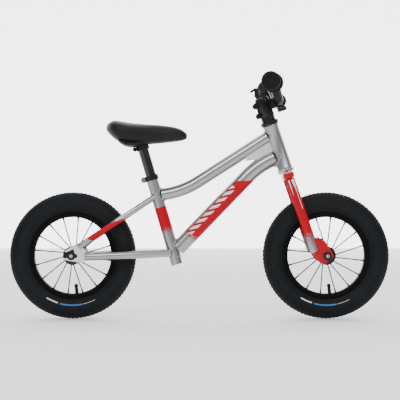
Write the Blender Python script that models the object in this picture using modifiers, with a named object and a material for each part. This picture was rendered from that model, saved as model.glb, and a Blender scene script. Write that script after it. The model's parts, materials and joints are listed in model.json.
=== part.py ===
"""Children's balance bike, built from separate pieces around its joint axes.

+X is forwards, +Y the rider's left and +Z up. The origin is on the ground,
midway between the two wheels. Sizes are in metres.
"""
import math

import bmesh
import bpy
from mathutils import Matrix, Vector

# Overall layout
WHEELBASE = 0.610
GAP = 0.0003                      # between pieces that touch
BOLT_PLAY = 0.0003

# Wheels
TYRE_DIAMETER = 0.305
TYRE_WIDTH = 0.050
TYRE_WALL = 0.003
TREAD_THICKNESS = 0.0035
BEAD_SEAT_RADIUS = 0.1013
RIM_OPENING_RADIUS = 0.0923
RIM_FLANGE_HEIGHT = 0.0057
RIM_HALF_WIDTH = 0.013
RIM_WALL = 0.0017
TUBE_WALL = 0.0012
TUBE_SLACK = 0.0035               # between the inner tube and the tyre's inside
SPOKE_COUNT = 16
SPOKE_RADIUS = 0.0012
SPOKE_LEAN = 0.0036               # how far each spoke's line passes from the axle
SPOKE_RIM_OFFSET = 0.002
VALVE_ANGLE = math.radians(-84.25)
VALVE_RADIUS = 0.0038
VALVE_LENGTH = 0.023
HUB_FLANGE_RADIUS = 0.0225
HUB_FLANGE_OFFSET = 0.024
HUB_FLANGE_THICKNESS = 0.003
HUB_BARREL_RADIUS = 0.0115
HUB_HALF_LENGTH = 0.040
AXLE_RADIUS = 0.00475
AXLE_CONE_RADIUS = 0.008
AXLE_NUT_RADIUS = 0.0085
AXLE_WASHER_RADIUS = 0.0098
AXLE_NUT_LENGTH = 0.009
DROPOUT_INNER = 0.0475            # half the space between the dropouts
DROPOUT_THICKNESS = 0.005

# Steering column, measured along its axis from the height of the front axle
HEAD_TILT = math.radians(18.8)
FORK_RAKE = 0.0253
CROWN_TYRE_SPACE = 0.043
CROWN_HEIGHT = 0.015
CROWN_DEPTH = 0.0265
CROWN_RACE_HEIGHT = 0.0025
CUP_HEIGHT = 0.0052
HEAD_TUBE_LENGTH = 0.1122
HEAD_TUBE_WALL = 0.0018
STEERER_RADIUS = 0.0143
STEERER_ROOM = 0.0021             # between the steerer and the head tube's bore
HEAD_TUBE_RADIUS = STEERER_RADIUS + STEERER_ROOM + HEAD_TUBE_WALL
CUP_RADIUS = HEAD_TUBE_RADIUS + 0.0028
CROWN_RACE_RADIUS = CUP_RADIUS - 0.0020
STEERER_WALL = 0.0015
COVER_HEIGHT = 0.0157
FORK_LEG_DEPTH = 0.0230
FORK_LEG_WIDTH = 0.0170
FORK_LEG_WALL = 0.0016
FORK_LEG_OFFSET = 0.0460
FORK_LEG_FOOT = 0.0078            # height of the legs' ends above the axle

# Stem and bars
STEM_HEIGHT = 0.0437
STEM_WALL = 0.0032
STEM_RADIUS = STEERER_RADIUS + GAP + STEM_WALL
STEM_REACH = 0.0370
STEM_BAR_DROP = 0.0172            # bar centre below the stem's top
STEM_CAP_HEIGHT = 0.0045
STEM_ARM_HEIGHT = 0.024
STEM_ARM_WIDTH = 0.024
STEM_CLAMP_WIDTH = 0.044
STEM_SLIT = 0.0015
PINCH_BOLT_SPACING = 0.025
PINCH_BOLT_SETBACK = STEM_RADIUS + 0.0027
BOLT_RADIUS = 0.0025
BOLT_HEAD_RADIUS = 0.0045
BOLT_HEAD_LENGTH = 0.005
BAR_RADIUS = 0.0111
STEM_CLAMP_WALL = 0.0046
STEM_CLAMP_RADIUS = BAR_RADIUS + GAP + STEM_CLAMP_WALL
FACE_BOLT_SPACING = 2 * (STEM_CLAMP_RADIUS + 0.0035)
BAR_HALF_WIDTH = 0.215
BAR_CENTRE_HALF = 0.036
BAR_KNEE_HALF = 0.075
BAR_RISE = 0.0382
BAR_KNEE_SETBACK = 0.0139
BAR_END_SETBACK = 0.0148
BAR_END_DROP = 0.0049
BAR_CENTRE_BEND = 0.030
BAR_KNEE_BEND = 0.017
GRIP_WALL = 0.0036
GRIP_RADIUS = BAR_RADIUS + GAP + GRIP_WALL
GRIP_FLANGE_RADIUS = GRIP_RADIUS + 0.0070
GRIP_END_RADIUS = GRIP_RADIUS + 0.0058
GRIP_LENGTH = 0.108
GRIP_CAP = 0.004

# Bell
BELL_SIDE = -0.088
BELL_RADIUS = 0.0158
BELL_DEPTH = 0.0150
BELL_DROP = 0.0098                # bell centre below the bar
BELL_SETBACK = 0.0233             # bell base plate behind the bar
BELL_WALL = 0.0012
BELL_CLAMP_WALL = 0.0032
BELL_CLAMP_WIDTH = 0.011
BELL_PIVOT_DROP = 0.0180          # lever pivot below the bell centre
LEVER_REACH = 0.0207
LEVER_RISE = 0.0150
LEVER_THICKNESS = 0.0026
LEVER_WIDTH = 0.0050

# Seat tube, measured along its axis from its open lower end
SEAT_TILT = math.radians(16.5)
SEAT_FOOT = Vector((-0.0536, 0.0, 0.1308))
SEAT_TUBE_LENGTH = 0.2215
BOTTOM_JUNCTION = 0.0292
SEAT_CLUSTER = 0.1735
POST_RADIUS = 0.0127
SEAT_TUBE_WALL = 0.0013
SEAT_TUBE_RADIUS = POST_RADIUS + GAP + SEAT_TUBE_WALL
POST_WALL = 0.0016
POST_BOTTOM = 0.110
POST_TOP = 0.3045
COLLAR_HEIGHT = 0.0120
COLLAR_WALL = 0.0022
COLLAR_RADIUS = SEAT_TUBE_RADIUS + GAP + COLLAR_WALL
COLLAR_BOLT_SETBACK = COLLAR_RADIUS + 0.0027
BOSS_WALL = 0.0030
BOSS_RADIUS = POST_RADIUS + GAP + BOSS_WALL
BOSS_BOTTOM = 0.2882

# Frame tubes
TOP_TUBE_RADIUS = 0.0150
TOP_TUBE_BELOW_HEAD = 0.0212
TOP_TUBE_RUN = 0.0652
TOP_TUBE_SLOPE = math.radians(9.0)
TOP_TUBE_BEND = 0.200
DOWN_TUBE_RADIUS = 0.0185
DOWN_TUBE_HEAD_ROOM = 0.0165      # head tube left free below the down tube
DOWN_TUBE_ABOVE_HEAD_END = DOWN_TUBE_RADIUS + DOWN_TUBE_HEAD_ROOM
DOWN_TUBE_RUN = 0.0520
DOWN_TUBE_SLOPE = math.radians(19.5)
DOWN_TUBE_BEND = 0.200
CHAIN_STAY_RADIUS = 0.0095
CHAIN_STAY_SHORT = 0.0090         # its end stops short of the seat tube's axis
SEAT_STAY_RADIUS = 0.0070
STAY_SIDE = 0.0500                # stays' distance from the centre plane at the dropouts
CHAIN_STAY_START = Vector((0.0315, 0.0, -0.0020))
SEAT_STAY_START = Vector((0.0166, 0.0, 0.0213))
GUSSET_HALF_WIDTH = 0.0090
LOWER_GUSSET_HALF_WIDTH = 0.0060

TURN_STEPS = 16
TYRE_STEPS = 32

# Places worked out from the sizes
TYRE_RADIUS = TYRE_DIAMETER / 2
FRONT_AXLE = Vector((WHEELBASE / 2, 0.0, TYRE_RADIUS))
REAR_AXLE = Vector((-WHEELBASE / 2, 0.0, TYRE_RADIUS))
STEER_BASE = FRONT_AXLE - Vector((FORK_RAKE / math.cos(HEAD_TILT), 0.0, 0.0))
STEER = Matrix.Translation(STEER_BASE) @ Matrix.Rotation(-HEAD_TILT, 4, "Y")
SEAT = Matrix.Translation(SEAT_FOOT) @ Matrix.Rotation(-SEAT_TILT, 4, "Y")

CROWN_LOW = TYRE_RADIUS + CROWN_TYRE_SPACE
CROWN_HIGH = CROWN_LOW + CROWN_HEIGHT
RACE_HIGH = CROWN_HIGH + GAP + CROWN_RACE_HEIGHT
LOWER_CUP_LOW = RACE_HIGH + GAP
HEAD_LOW = LOWER_CUP_LOW + CUP_HEIGHT + GAP
HEAD_HIGH = HEAD_LOW + HEAD_TUBE_LENGTH
UPPER_CUP_LOW = HEAD_HIGH + GAP
COVER_LOW = UPPER_CUP_LOW + CUP_HEIGHT + GAP
STEM_LOW = COVER_LOW + COVER_HEIGHT + GAP
STEM_HIGH = STEM_LOW + STEM_HEIGHT
BAR_LEVEL = STEM_HIGH - STEM_BAR_DROP
BAR_CENTRE = STEER @ Vector((STEM_REACH, 0.0, BAR_LEVEL))
CLUSTER = SEAT @ Vector((0.0, 0.0, SEAT_CLUSTER))
JUNCTION = SEAT @ Vector((0.0, 0.0, BOTTOM_JUNCTION))


def clear_scene():
    for obj in list(bpy.data.objects):
        bpy.data.objects.remove(obj, do_unlink=True)


def new_collection(name):
    collection = bpy.data.collections.new(name)
    bpy.context.scene.collection.children.link(collection)
    return collection


clear_scene()
PARTS = new_collection("balance_bike")
CUTTERS = new_collection("cutters")


def make_material(name, colour, roughness, metallic):
    material = bpy.data.materials.new(name)
    material.use_nodes = True
    shader = material.node_tree.nodes["Principled BSDF"]
    shader.inputs["Base Color"].default_value = (*colour, 1.0)
    shader.inputs["Roughness"].default_value = roughness
    shader.inputs["Metallic"].default_value = metallic
    return material


FINISHES = {
    "silver": ((0.72, 0.73, 0.75), 0.28, 1.0),
    "steel": ((0.45, 0.46, 0.48), 0.30, 1.0),
    "red": ((0.62, 0.01, 0.03), 0.30, 0.0),
    "black_metal": ((0.015, 0.016, 0.018), 0.35, 0.0),
    "black_rubber": ((0.012, 0.013, 0.015), 0.75, 0.0),
    "black_plastic": ((0.018, 0.019, 0.021), 0.55, 0.0),
    "black_cover": ((0.030, 0.032, 0.036), 0.60, 0.0),
}


def add_object(name, mesh, finish=None, matrix=None):
    """Link a mesh as a named part, or as a hidden cutter when it has no finish."""
    obj = bpy.data.objects.new(name, mesh)
    if finish is None:
        CUTTERS.objects.link(obj)
        obj.hide_render = True
        obj.display_type = "WIRE"
    else:
        PARTS.objects.link(obj)
        mesh.materials.append(make_material(name, *FINISHES[finish]))
    if matrix is not None:
        obj.matrix_world = matrix
    return obj


def mesh_from(name, build):
    """A mesh filled in by a function that is given its bmesh."""
    mesh = bpy.data.meshes.new(name)
    bm = bmesh.new()
    build(bm)
    bm.to_mesh(mesh)
    bm.free()
    return mesh


def soften(mesh):
    mesh.shade_smooth()
    mesh.set_sharp_from_angle(angle=math.radians(35))


def cut(obj, *cutters):
    for cutter in cutters:
        modifier = obj.modifiers.new("cut_" + cutter.name, "BOOLEAN")
        modifier.object = cutter
        modifier.operation = "DIFFERENCE"


def join(obj, *others):
    for other in others:
        modifier = obj.modifiers.new("join_" + other.name, "BOOLEAN")
        modifier.object = other
        modifier.operation = "UNION"


def turned(name, profile, finish=None, matrix=None, closed=True, steps=TURN_STEPS):
    """Turn a profile of (radius, height) about local Z; its outer side runs downwards."""
    mesh = bpy.data.meshes.new(name)
    vertices = [(radius, 0.0, height) for radius, height in profile]
    edges = [(i, i + 1) for i in range(len(vertices) - 1)]
    if closed:
        edges.append((len(vertices) - 1, 0))
    mesh.from_pydata(vertices, edges, [])
    obj = add_object(name, mesh, finish, matrix)
    screw = obj.modifiers.new("turn", "SCREW")
    screw.axis = "Z"
    screw.angle = 2 * math.pi
    screw.steps = steps
    screw.render_steps = steps
    screw.use_merge_vertices = True
    screw.merge_threshold = 0.00001
    screw.use_smooth_shade = True
    return obj


def ring(name, inner, outer, low, high, finish=None, matrix=None, steps=TURN_STEPS):
    profile = [(outer, high), (outer, low), (inner, low), (inner, high)]
    return turned(name, profile, finish, matrix, steps=steps)


def rod(name, radius, low, high, finish=None, matrix=None, steps=TURN_STEPS):
    profile = [(0.0, high), (radius, high), (radius, low), (0.0, low)]
    return turned(name, profile, finish, matrix, closed=False, steps=steps)


def box(name, low, high, finish=None, matrix=None):
    size = Vector(high) - Vector(low)
    centre = (Vector(high) + Vector(low)) / 2

    def build(bm):
        placed = Matrix.Translation(centre) @ Matrix.Diagonal((*size, 1.0))
        bmesh.ops.create_cube(bm, size=1.0, matrix=placed)

    return add_object(name, mesh_from(name, build), finish, matrix)


def bent_path(corners, bends, steps=6):
    """Points along straight runs joined by an arc at each inner corner."""
    points = [corners[0].copy()]
    for index, bend in enumerate(bends, start=1):
        corner = corners[index]
        before = (corners[index - 1] - corner).normalized()
        after = (corners[index + 1] - corner).normalized()
        half = (math.pi - before.angle(after)) / 2
        reach = bend * math.tan(half)
        centre = corner + (before + after).normalized() * (bend / math.cos(half))
        start = corner + before * reach - centre
        end = corner + after * reach - centre
        turn = start.angle(end)
        for step in range(steps + 1):
            share = step / steps
            low = math.sin((1 - share) * turn) / math.sin(turn)
            high = math.sin(share * turn) / math.sin(turn)
            points.append(centre + start * low + end * high)
    points.append(corners[-1].copy())
    return points


def tube(name, points, radii, finish=None, sides=12):
    """A round bar along a path, made a welded mesh; radii are its first and last radius."""
    data = bpy.data.curves.new(name, "CURVE")
    data.dimensions = "3D"
    data.bevel_depth = 1.0
    data.bevel_resolution = (sides - 4) // 2
    data.use_fill_caps = True
    spline = data.splines.new("POLY")
    spline.points.add(len(points) - 1)
    travelled = [0.0]
    for first, second in zip(points, points[1:]):
        travelled.append(travelled[-1] + (second - first).length)
    for point, place, distance in zip(spline.points, points, travelled):
        point.co = (*place, 1.0)
        point.radius = radii[0] + (radii[1] - radii[0]) * distance / travelled[-1]
    guide = bpy.data.objects.new(name + "_guide", data)
    CUTTERS.objects.link(guide)
    evaluated = guide.evaluated_get(bpy.context.evaluated_depsgraph_get())
    mesh = bpy.data.meshes.new_from_object(evaluated)
    placed = guide.matrix_world.copy()
    bpy.data.objects.remove(guide, do_unlink=True)
    bm = bmesh.new()
    bm.from_mesh(mesh)
    bmesh.ops.remove_doubles(bm, verts=bm.verts, dist=0.00001)
    bmesh.ops.recalc_face_normals(bm, faces=bm.faces)
    bm.to_mesh(mesh)
    bm.free()
    mesh.materials.clear()
    soften(mesh)
    return add_object(name, mesh, finish, placed)


def lengthened(points, extra):
    """The same path, run on by a little at both ends."""
    first = points[0] + (points[0] - points[1]).normalized() * extra
    last = points[-1] + (points[-1] - points[-2]).normalized() * extra
    return [first] + points[1:-1] + [last]


def plate(name, outline, side, thickness, finish=None):
    """A flat plate from an outline in X and Z, centred on a distance along Y."""
    data = bpy.data.curves.new(name, "CURVE")
    data.dimensions = "2D"
    data.fill_mode = "BOTH"
    data.extrude = thickness / 2
    spline = data.splines.new("POLY")
    spline.points.add(len(outline) - 1)
    spline.use_cyclic_u = True
    for point, (x, z) in zip(spline.points, outline):
        point.co = (x, z, 0.0, 1.0)
    guide = bpy.data.objects.new(name + "_guide", data)
    CUTTERS.objects.link(guide)
    evaluated = guide.evaluated_get(bpy.context.evaluated_depsgraph_get())
    mesh = bpy.data.meshes.new_from_object(evaluated)
    bpy.data.objects.remove(guide, do_unlink=True)
    bm = bmesh.new()
    bm.from_mesh(mesh)
    bmesh.ops.remove_doubles(bm, verts=bm.verts, dist=0.00001)
    bmesh.ops.recalc_face_normals(bm, faces=bm.faces)
    bm.to_mesh(mesh)
    bm.free()
    mesh.materials.clear()
    placed = Matrix.Translation((0.0, side, 0.0)) @ Matrix.Rotation(math.pi / 2, 4, "X")
    return add_object(name, mesh, finish, placed)


def arc(centre, radius, start, end, steps):
    """Points of an arc in X and Z, from one angle to another in degrees."""
    angles = [math.radians(start + (end - start) * i / steps) for i in range(steps + 1)]
    return [(centre[0] + radius * math.cos(a), centre[1] + radius * math.sin(a)) for a in angles]


def across(matrix, place):
    """A local frame at a place whose Z runs along the bike's -Y."""
    return matrix @ Matrix.Translation(place) @ Matrix.Rotation(math.pi / 2, 4, "X")


def bolt(name, matrix, low, high, finish="steel"):
    """A bolt along local Z with its head above the high end."""
    top = high + BOLT_HEAD_LENGTH
    profile = [(0.0, top), (BOLT_HEAD_RADIUS, top), (BOLT_HEAD_RADIUS, high)]
    profile += [(BOLT_RADIUS, high), (BOLT_RADIUS, low), (0.0, low)]
    return turned(name, profile, finish, matrix, closed=False, steps=10)


def bolt_hole(name, matrix, low, high):
    return rod(name, BOLT_RADIUS + BOLT_PLAY, low, high, None, matrix, steps=10)


def parent_all(empty, pieces):
    for piece in pieces:
        piece.parent = empty
        piece.matrix_parent_inverse = empty.matrix_world.inverted()


def joint_empty(name, matrix):
    empty = bpy.data.objects.new(name, None)
    empty.empty_display_size = 0.03
    empty.matrix_world = matrix
    PARTS.objects.link(empty)
    return empty


# ---------------------------------------------------------------- wheels

SECTION_CENTRE = TYRE_RADIUS - TYRE_WIDTH / 2 - 0.0005
SECTION_HEIGHT = TYRE_RADIUS - SECTION_CENTRE
BEAD_RADIUS = BEAD_SEAT_RADIUS + GAP
FLANGE_RADIUS = BEAD_SEAT_RADIUS + RIM_FLANGE_HEIGHT
BEAD_SIDE = RIM_HALF_WIDTH - RIM_WALL - GAP
BEAD_THICKNESS = 0.0035


def section_arc(height, width, start, end, steps):
    """Points round the tyre's section; zero degrees points away from the axle."""
    points = []
    for step in range(steps + 1):
        angle = math.radians(start + (end - start) * step / steps)
        points.append((SECTION_CENTRE + height * math.cos(angle), width * math.sin(angle)))
    return points


def tyre_profile():
    """An open shell: tread, sidewalls and a bead on each side."""
    half = TYRE_WIDTH / 2
    shoulder = math.degrees(math.acos((FLANGE_RADIUS + 0.0005 - SECTION_CENTRE) / SECTION_HEIGHT))
    toe = BEAD_SIDE - BEAD_THICKNESS
    lip = FLANGE_RADIUS + GAP
    outer = section_arc(SECTION_HEIGHT, half, shoulder, -shoulder, 8)
    inner = section_arc(SECTION_HEIGHT - TREAD_THICKNESS, half - TYRE_WALL, -132, 132, 6)
    low_bead = [(lip, -BEAD_SIDE), (BEAD_RADIUS, -BEAD_SIDE), (BEAD_RADIUS, -toe), (lip, -toe)]
    high_bead = [(radius, -side) for radius, side in reversed(low_bead)]
    return outer + low_bead + inner + high_bead


def inner_tube_profile():
    """A thin shell inside the tyre, split along its inner side."""
    height = SECTION_HEIGHT - TREAD_THICKNESS - TUBE_SLACK
    width = TYRE_WIDTH / 2 - TYRE_WALL - TUBE_SLACK
    outer = section_arc(height, width, 168, -168, 6)
    inner = section_arc(height - TUBE_WALL, width - TUBE_WALL, -166, 166, 4)
    return outer + inner


def rim_profile():
    """A rim with a flange on each side and a well between them."""
    side = RIM_HALF_WIDTH
    inside = side - RIM_WALL
    well = BEAD_SEAT_RADIUS - 0.003
    waist = RIM_OPENING_RADIUS + 0.0035
    top = [(FLANGE_RADIUS, side), (FLANGE_RADIUS, inside), (BEAD_SEAT_RADIUS, inside)]
    top += [(BEAD_SEAT_RADIUS, inside - 0.005), (well, inside - 0.0065)]
    bottom = [(radius, -place) for radius, place in reversed(top)]
    web = [(waist, -side + 0.0008), (RIM_OPENING_RADIUS, -0.008)]
    web += [(RIM_OPENING_RADIUS, 0.008), (waist, side - 0.0008)]
    return top + bottom + web


def hub_profile():
    """The hub shell: a barrel between two flanges, with a bore for the axle."""
    bore = AXLE_RADIUS + 2 * GAP
    outer = HUB_FLANGE_OFFSET + HUB_FLANGE_THICKNESS / 2
    inner = HUB_FLANGE_OFFSET - HUB_FLANGE_THICKNESS / 2
    nose = HUB_BARREL_RADIUS - 0.002
    upper = [(nose, HUB_HALF_LENGTH), (HUB_BARREL_RADIUS, outer), (HUB_FLANGE_RADIUS, outer)]
    upper += [(HUB_FLANGE_RADIUS, inner), (HUB_BARREL_RADIUS, inner - 0.001)]
    lower = [(radius, -place) for radius, place in reversed(upper)]
    return upper + lower + [(bore, -HUB_HALF_LENGTH), (bore, HUB_HALF_LENGTH)]


def spoke_bundle(name, matrix):
    """All the spokes of one wheel, from the hub's flanges to just short of the rim."""
    root = HUB_FLANGE_RADIUS - 0.004
    tip = RIM_OPENING_RADIUS * math.cos(math.pi / TYRE_STEPS) - 2 * GAP
    swing = math.asin(SPOKE_LEAN / root) - math.asin(SPOKE_LEAN / tip)

    def build(bm):
        for index in range(SPOKE_COUNT):
            sign = 1 if index % 2 else -1
            rim_angle = VALVE_ANGLE + (index + 0.5) * 2 * math.pi / SPOKE_COUNT
            hub_angle = rim_angle + sign * swing
            start = Vector((root * math.cos(hub_angle), root * math.sin(hub_angle),
                            sign * HUB_FLANGE_OFFSET))
            end = Vector((tip * math.cos(rim_angle), tip * math.sin(rim_angle),
                          sign * SPOKE_RIM_OFFSET))
            along = end - start
            turn = along.to_track_quat("Z", "Y").to_matrix().to_4x4()
            placed = Matrix.Translation((start + end) / 2) @ turn
            bmesh.ops.create_cone(bm, cap_ends=True, segments=4, radius1=SPOKE_RADIUS,
                                  radius2=SPOKE_RADIUS, depth=along.length, matrix=placed)

    return add_object(name, mesh_from(name, build), None, matrix)


def make_wheel(side_name, axle):
    """Tyre, inner tube, rim, spoked hub and valve about one axle."""
    matrix = Matrix.Translation(axle) @ Matrix.Rotation(math.pi / 2, 4, "X")
    tyre = turned(side_name + "_tyre", tyre_profile(), "black_rubber", matrix, steps=TYRE_STEPS)
    tube_piece = turned(side_name + "_inner_tube", inner_tube_profile(), "black_rubber", matrix,
                        steps=TYRE_STEPS)
    rim = turned(side_name + "_rim", rim_profile(), "black_metal", matrix, steps=TYRE_STEPS)
    hub = turned(side_name + "_hub_spokes", hub_profile(), "steel", matrix)
    join(hub, spoke_bundle(side_name + "_spoke_bundle", matrix))
    spin = Matrix.Rotation(VALVE_ANGLE + math.pi / 2, 4, "Z") @ Matrix.Rotation(math.pi / 2, 4, "X")
    low = RIM_OPENING_RADIUS - VALVE_LENGTH
    high = SECTION_CENTRE - SECTION_HEIGHT + TREAD_THICKNESS - GAP
    valve = rod(side_name + "_valve", VALVE_RADIUS, low, high, "black_metal", matrix @ spin, 16)
    cut(rim, rod(side_name + "_valve_hole", VALVE_RADIUS + GAP, low, high, None, matrix @ spin, 16))
    return [tyre, tube_piece, rim, hub, valve]


def make_axle(side_name, axle):
    """The fixed axle with its two cones, and a nut on each end."""
    matrix = Matrix.Translation(axle) @ Matrix.Rotation(math.pi / 2, 4, "X")
    outer = DROPOUT_INNER + DROPOUT_THICKNESS + GAP
    end = outer + AXLE_NUT_LENGTH - 0.001
    cone_in = HUB_HALF_LENGTH + 2 * GAP
    cone_out = DROPOUT_INNER - GAP
    half = [(0.0, end), (AXLE_RADIUS, end), (AXLE_RADIUS, cone_out), (AXLE_CONE_RADIUS, cone_out)]
    half += [(AXLE_CONE_RADIUS, cone_in), (AXLE_RADIUS, cone_in)]
    profile = half + [(radius, -place) for radius, place in reversed(half)]
    pieces = [turned(side_name + "_axle", profile, "steel", matrix, closed=False, steps=14)]
    bore = AXLE_RADIUS + GAP
    washer = outer + 0.0025
    high = outer + AXLE_NUT_LENGTH
    nut = [(AXLE_NUT_RADIUS, high), (AXLE_NUT_RADIUS, washer), (AXLE_WASHER_RADIUS, washer)]
    nut += [(AXLE_WASHER_RADIUS, outer), (bore, outer), (bore, high)]
    for hand, turn in (("right", 0.0), ("left", math.pi)):
        facing = matrix @ Matrix.Rotation(turn, 4, "Y")
        name = side_name + "_axle_nut_" + hand
        pieces.append(turned(name, nut, "black_metal", facing, steps=12))
    return pieces


# ---------------------------------------------------------------- frame

HEAD_AXIS_CUT = rod("head_tube_space", HEAD_TUBE_RADIUS + GAP, HEAD_LOW - 0.03, HEAD_HIGH + 0.03,
                    None, STEER)
SEAT_AXIS_CUT = rod("seat_tube_space", SEAT_TUBE_RADIUS + GAP, -0.03, SEAT_TUBE_LENGTH + 0.03,
                    None, SEAT)


def level_step(length, slope):
    return Vector((length * math.cos(slope), 0.0, length * math.sin(slope)))


def top_tube_path():
    head_end = STEER @ Vector((0.0, 0.0, HEAD_HIGH - TOP_TUBE_BELOW_HEAD))
    knee = CLUSTER + level_step(TOP_TUBE_RUN, TOP_TUBE_SLOPE)
    return bent_path([CLUSTER, knee, head_end], [TOP_TUBE_BEND], steps=5)


def down_tube_path():
    head_end = STEER @ Vector((0.0, 0.0, HEAD_LOW + DOWN_TUBE_ABOVE_HEAD_END))
    knee = head_end - level_step(DOWN_TUBE_RUN, DOWN_TUBE_SLOPE)
    return bent_path([JUNCTION, knee, head_end], [DOWN_TUBE_BEND], steps=5)


def stay_path(start, end, side, shares, sides):
    """A stay from its dropout to the seat tube; shares along it give its sideways place."""
    corners = []
    for share, distance in zip(shares, sides):
        place = start.lerp(end, share)
        corners.append(Vector((place.x, side * distance, place.z)))
    return bent_path(corners, [0.09] * (len(corners) - 2), steps=3)


def chain_stay_path(side):
    shares = (0.0, 0.38, 0.72, 1.0)
    end = JUNCTION + Vector((-CHAIN_STAY_SHORT, 0.0, -0.0005))
    return stay_path(REAR_AXLE + CHAIN_STAY_START, end, side, shares,
                     (STAY_SIDE, STAY_SIDE - 0.002, 0.031, 0.0110))


def seat_stay_path(side):
    shares = (0.0, 0.42, 0.72, 1.0)
    return stay_path(REAR_AXLE + SEAT_STAY_START, CLUSTER, side, shares,
                     (STAY_SIDE, STAY_SIDE - 0.002, 0.032, 0.0085))


def rear_dropout_outline():
    """A hooked plate, open to the rear, with a slot for the axle and a window above it."""
    x, z = REAR_AXLE.x, REAR_AXLE.z
    slot = AXLE_RADIUS + GAP
    lower = [(x - 0.0185, z - slot), (x - 0.0175, z - 0.0095)]
    lower += [(x + 0.0245, z - 0.0165), (x + 0.0325, z - 0.0110)]
    front = [(x + 0.0345, z + 0.0080), (x + 0.0250, z + 0.0240)]
    finger = [(x + 0.0120, z + 0.0295), (x - 0.0150, z + 0.0125), (x - 0.0130, z + 0.0085)]
    window = [(x + 0.0055, z + 0.0170), (x + 0.0070, z + 0.0100), (x + 0.0090, z + slot)]
    end = arc((x + 0.0095, z), slot, 80, -90, 6)
    return lower + front + finger + window + end


def front_dropout_outline():
    """A hooked plate in front of the fork leg; its slot opens forwards and down."""
    x, z = FRONT_AXLE.x, FRONT_AXLE.z
    slot = AXLE_RADIUS + GAP
    toward = math.radians(-52)
    along = Vector((math.cos(toward), math.sin(toward)))
    across_slot = Vector((-along.y, along.x))
    upper = Vector((x, z)) + across_slot * slot
    lower = Vector((x, z)) - across_slot * slot
    prong = [(x - 0.0310, z + 0.0420), (x - 0.0120, z + 0.0420), (x - 0.0015, z + 0.0290)]
    prong += [(x + 0.0105, z + 0.0100), (x + 0.0145, z - 0.0005), (x + 0.0110, z - 0.0050)]
    mouth_upper = upper + along * 0.0060
    mouth_lower = lower + along * 0.0100
    closed_end = arc((x, z), slot, 38, 218, 8)
    foot = [(x - 0.0010, z - 0.0160), (x - 0.0080, z - 0.0185), (x - 0.0160, z - 0.0160)]
    foot += [(x - 0.0240, z - 0.0100), (x - 0.0330, z + 0.0030)]
    return prong + [tuple(mouth_upper)] + closed_end + [tuple(mouth_lower)] + foot


def make_frame():
    """The welded frame, each tube mitred to its neighbours."""
    pieces = []
    head_bore = HEAD_TUBE_RADIUS - HEAD_TUBE_WALL
    pieces.append(ring("head_tube", head_bore, HEAD_TUBE_RADIUS, HEAD_LOW, HEAD_HIGH, "silver",
                       STEER))
    pieces.append(ring("seat_tube", POST_RADIUS + GAP, SEAT_TUBE_RADIUS, 0.0, SEAT_TUBE_LENGTH,
                       "silver", SEAT))

    top = tube("top_tube", top_tube_path(), (TOP_TUBE_RADIUS,) * 2, "silver")
    down = tube("down_tube", down_tube_path(), (DOWN_TUBE_RADIUS,) * 2, "silver")
    for piece in (top, down):
        cut(piece, HEAD_AXIS_CUT, SEAT_AXIS_CUT)
    pieces += [top, down]

    down_space = tube("down_tube_space", down_tube_path(), (DOWN_TUBE_RADIUS + GAP,) * 2)
    top_space = tube("top_tube_space", top_tube_path(), (TOP_TUBE_RADIUS + GAP,) * 2)
    for hand, side in (("right", -1), ("left", 1)):
        chain = tube("chain_stay_" + hand, chain_stay_path(side), (CHAIN_STAY_RADIUS,) * 2,
                     "silver")
        cut(chain, SEAT_AXIS_CUT, down_space)
        seat = tube("seat_stay_" + hand, seat_stay_path(side),
                    (SEAT_STAY_RADIUS, SEAT_STAY_RADIUS - 0.0008), "silver")
        cut(seat, SEAT_AXIS_CUT, top_space)
        chain_space = tube("chain_stay_space_" + hand, lengthened(chain_stay_path(side), GAP),
                           (CHAIN_STAY_RADIUS + GAP,) * 2)
        seat_space = tube("seat_stay_space_" + hand, lengthened(seat_stay_path(side), GAP),
                          (SEAT_STAY_RADIUS + GAP, SEAT_STAY_RADIUS - 0.0008 + GAP))
        middle = side * (DROPOUT_INNER + DROPOUT_THICKNESS / 2)
        dropout = plate("dropout_" + hand, rear_dropout_outline(), middle, DROPOUT_THICKNESS,
                        "silver")
        cut(dropout, chain_space, seat_space)
        pieces += [chain, seat, dropout]

    pieces += make_gussets(top_space, down_space)
    pieces += make_cups()
    pieces += make_seat_clamp()
    return pieces


def make_gussets(top_space, down_space):
    """The throat gusset between the two tubes, and a small one under the down tube."""
    head = STEER @ Vector((0.0, 0.0, HEAD_LOW))
    top_end = top_tube_path()[-1]
    down_end = down_tube_path()[-1]
    rise = (top_end - top_tube_path()[-2]).normalized()
    far_top = top_end - rise * 0.082
    fall = down_tube_path()[-2]
    outline = [(far_top.x, far_top.z), (far_top.x + 0.004, far_top.z - 0.022)]
    outline += [(fall.x, fall.z), (down_end.x, down_end.z), (top_end.x, top_end.z)]
    throat = plate("throat_gusset", outline, 0.0, 2 * GUSSET_HALF_WIDTH, "silver")
    cut(throat, top_space, down_space, HEAD_AXIS_CUT)

    low_outline = [(down_end.x, down_end.z), (head.x, head.z + 0.004),
                   (head.x - 0.0290, head.z + 0.0050), (head.x - 0.0370, head.z + 0.0180)]
    low_outline.append((down_end.x - 0.030, down_end.z - 0.010))
    lower = plate("lower_gusset", low_outline, 0.0, 2 * LOWER_GUSSET_HALF_WIDTH, "silver")
    cut(lower, down_space, HEAD_AXIS_CUT)
    return [throat, lower]


def make_cups():
    """A headset cup at each end of the head tube, with its bearing inside."""
    pieces = []
    split = CUP_RADIUS - 0.003
    for name, low, finish in (("lower", LOWER_CUP_LOW, "silver"), ("upper", UPPER_CUP_LOW,
                                                                "black_metal")):
        high = low + CUP_HEIGHT
        pieces.append(ring(name + "_headset_cup", split, CUP_RADIUS, low, high, finish, STEER))
        pieces.append(ring(name + "_headset_bearing", STEERER_RADIUS + GAP, split - GAP,
                           low + GAP, high - GAP, "steel", STEER))
    return pieces


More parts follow.
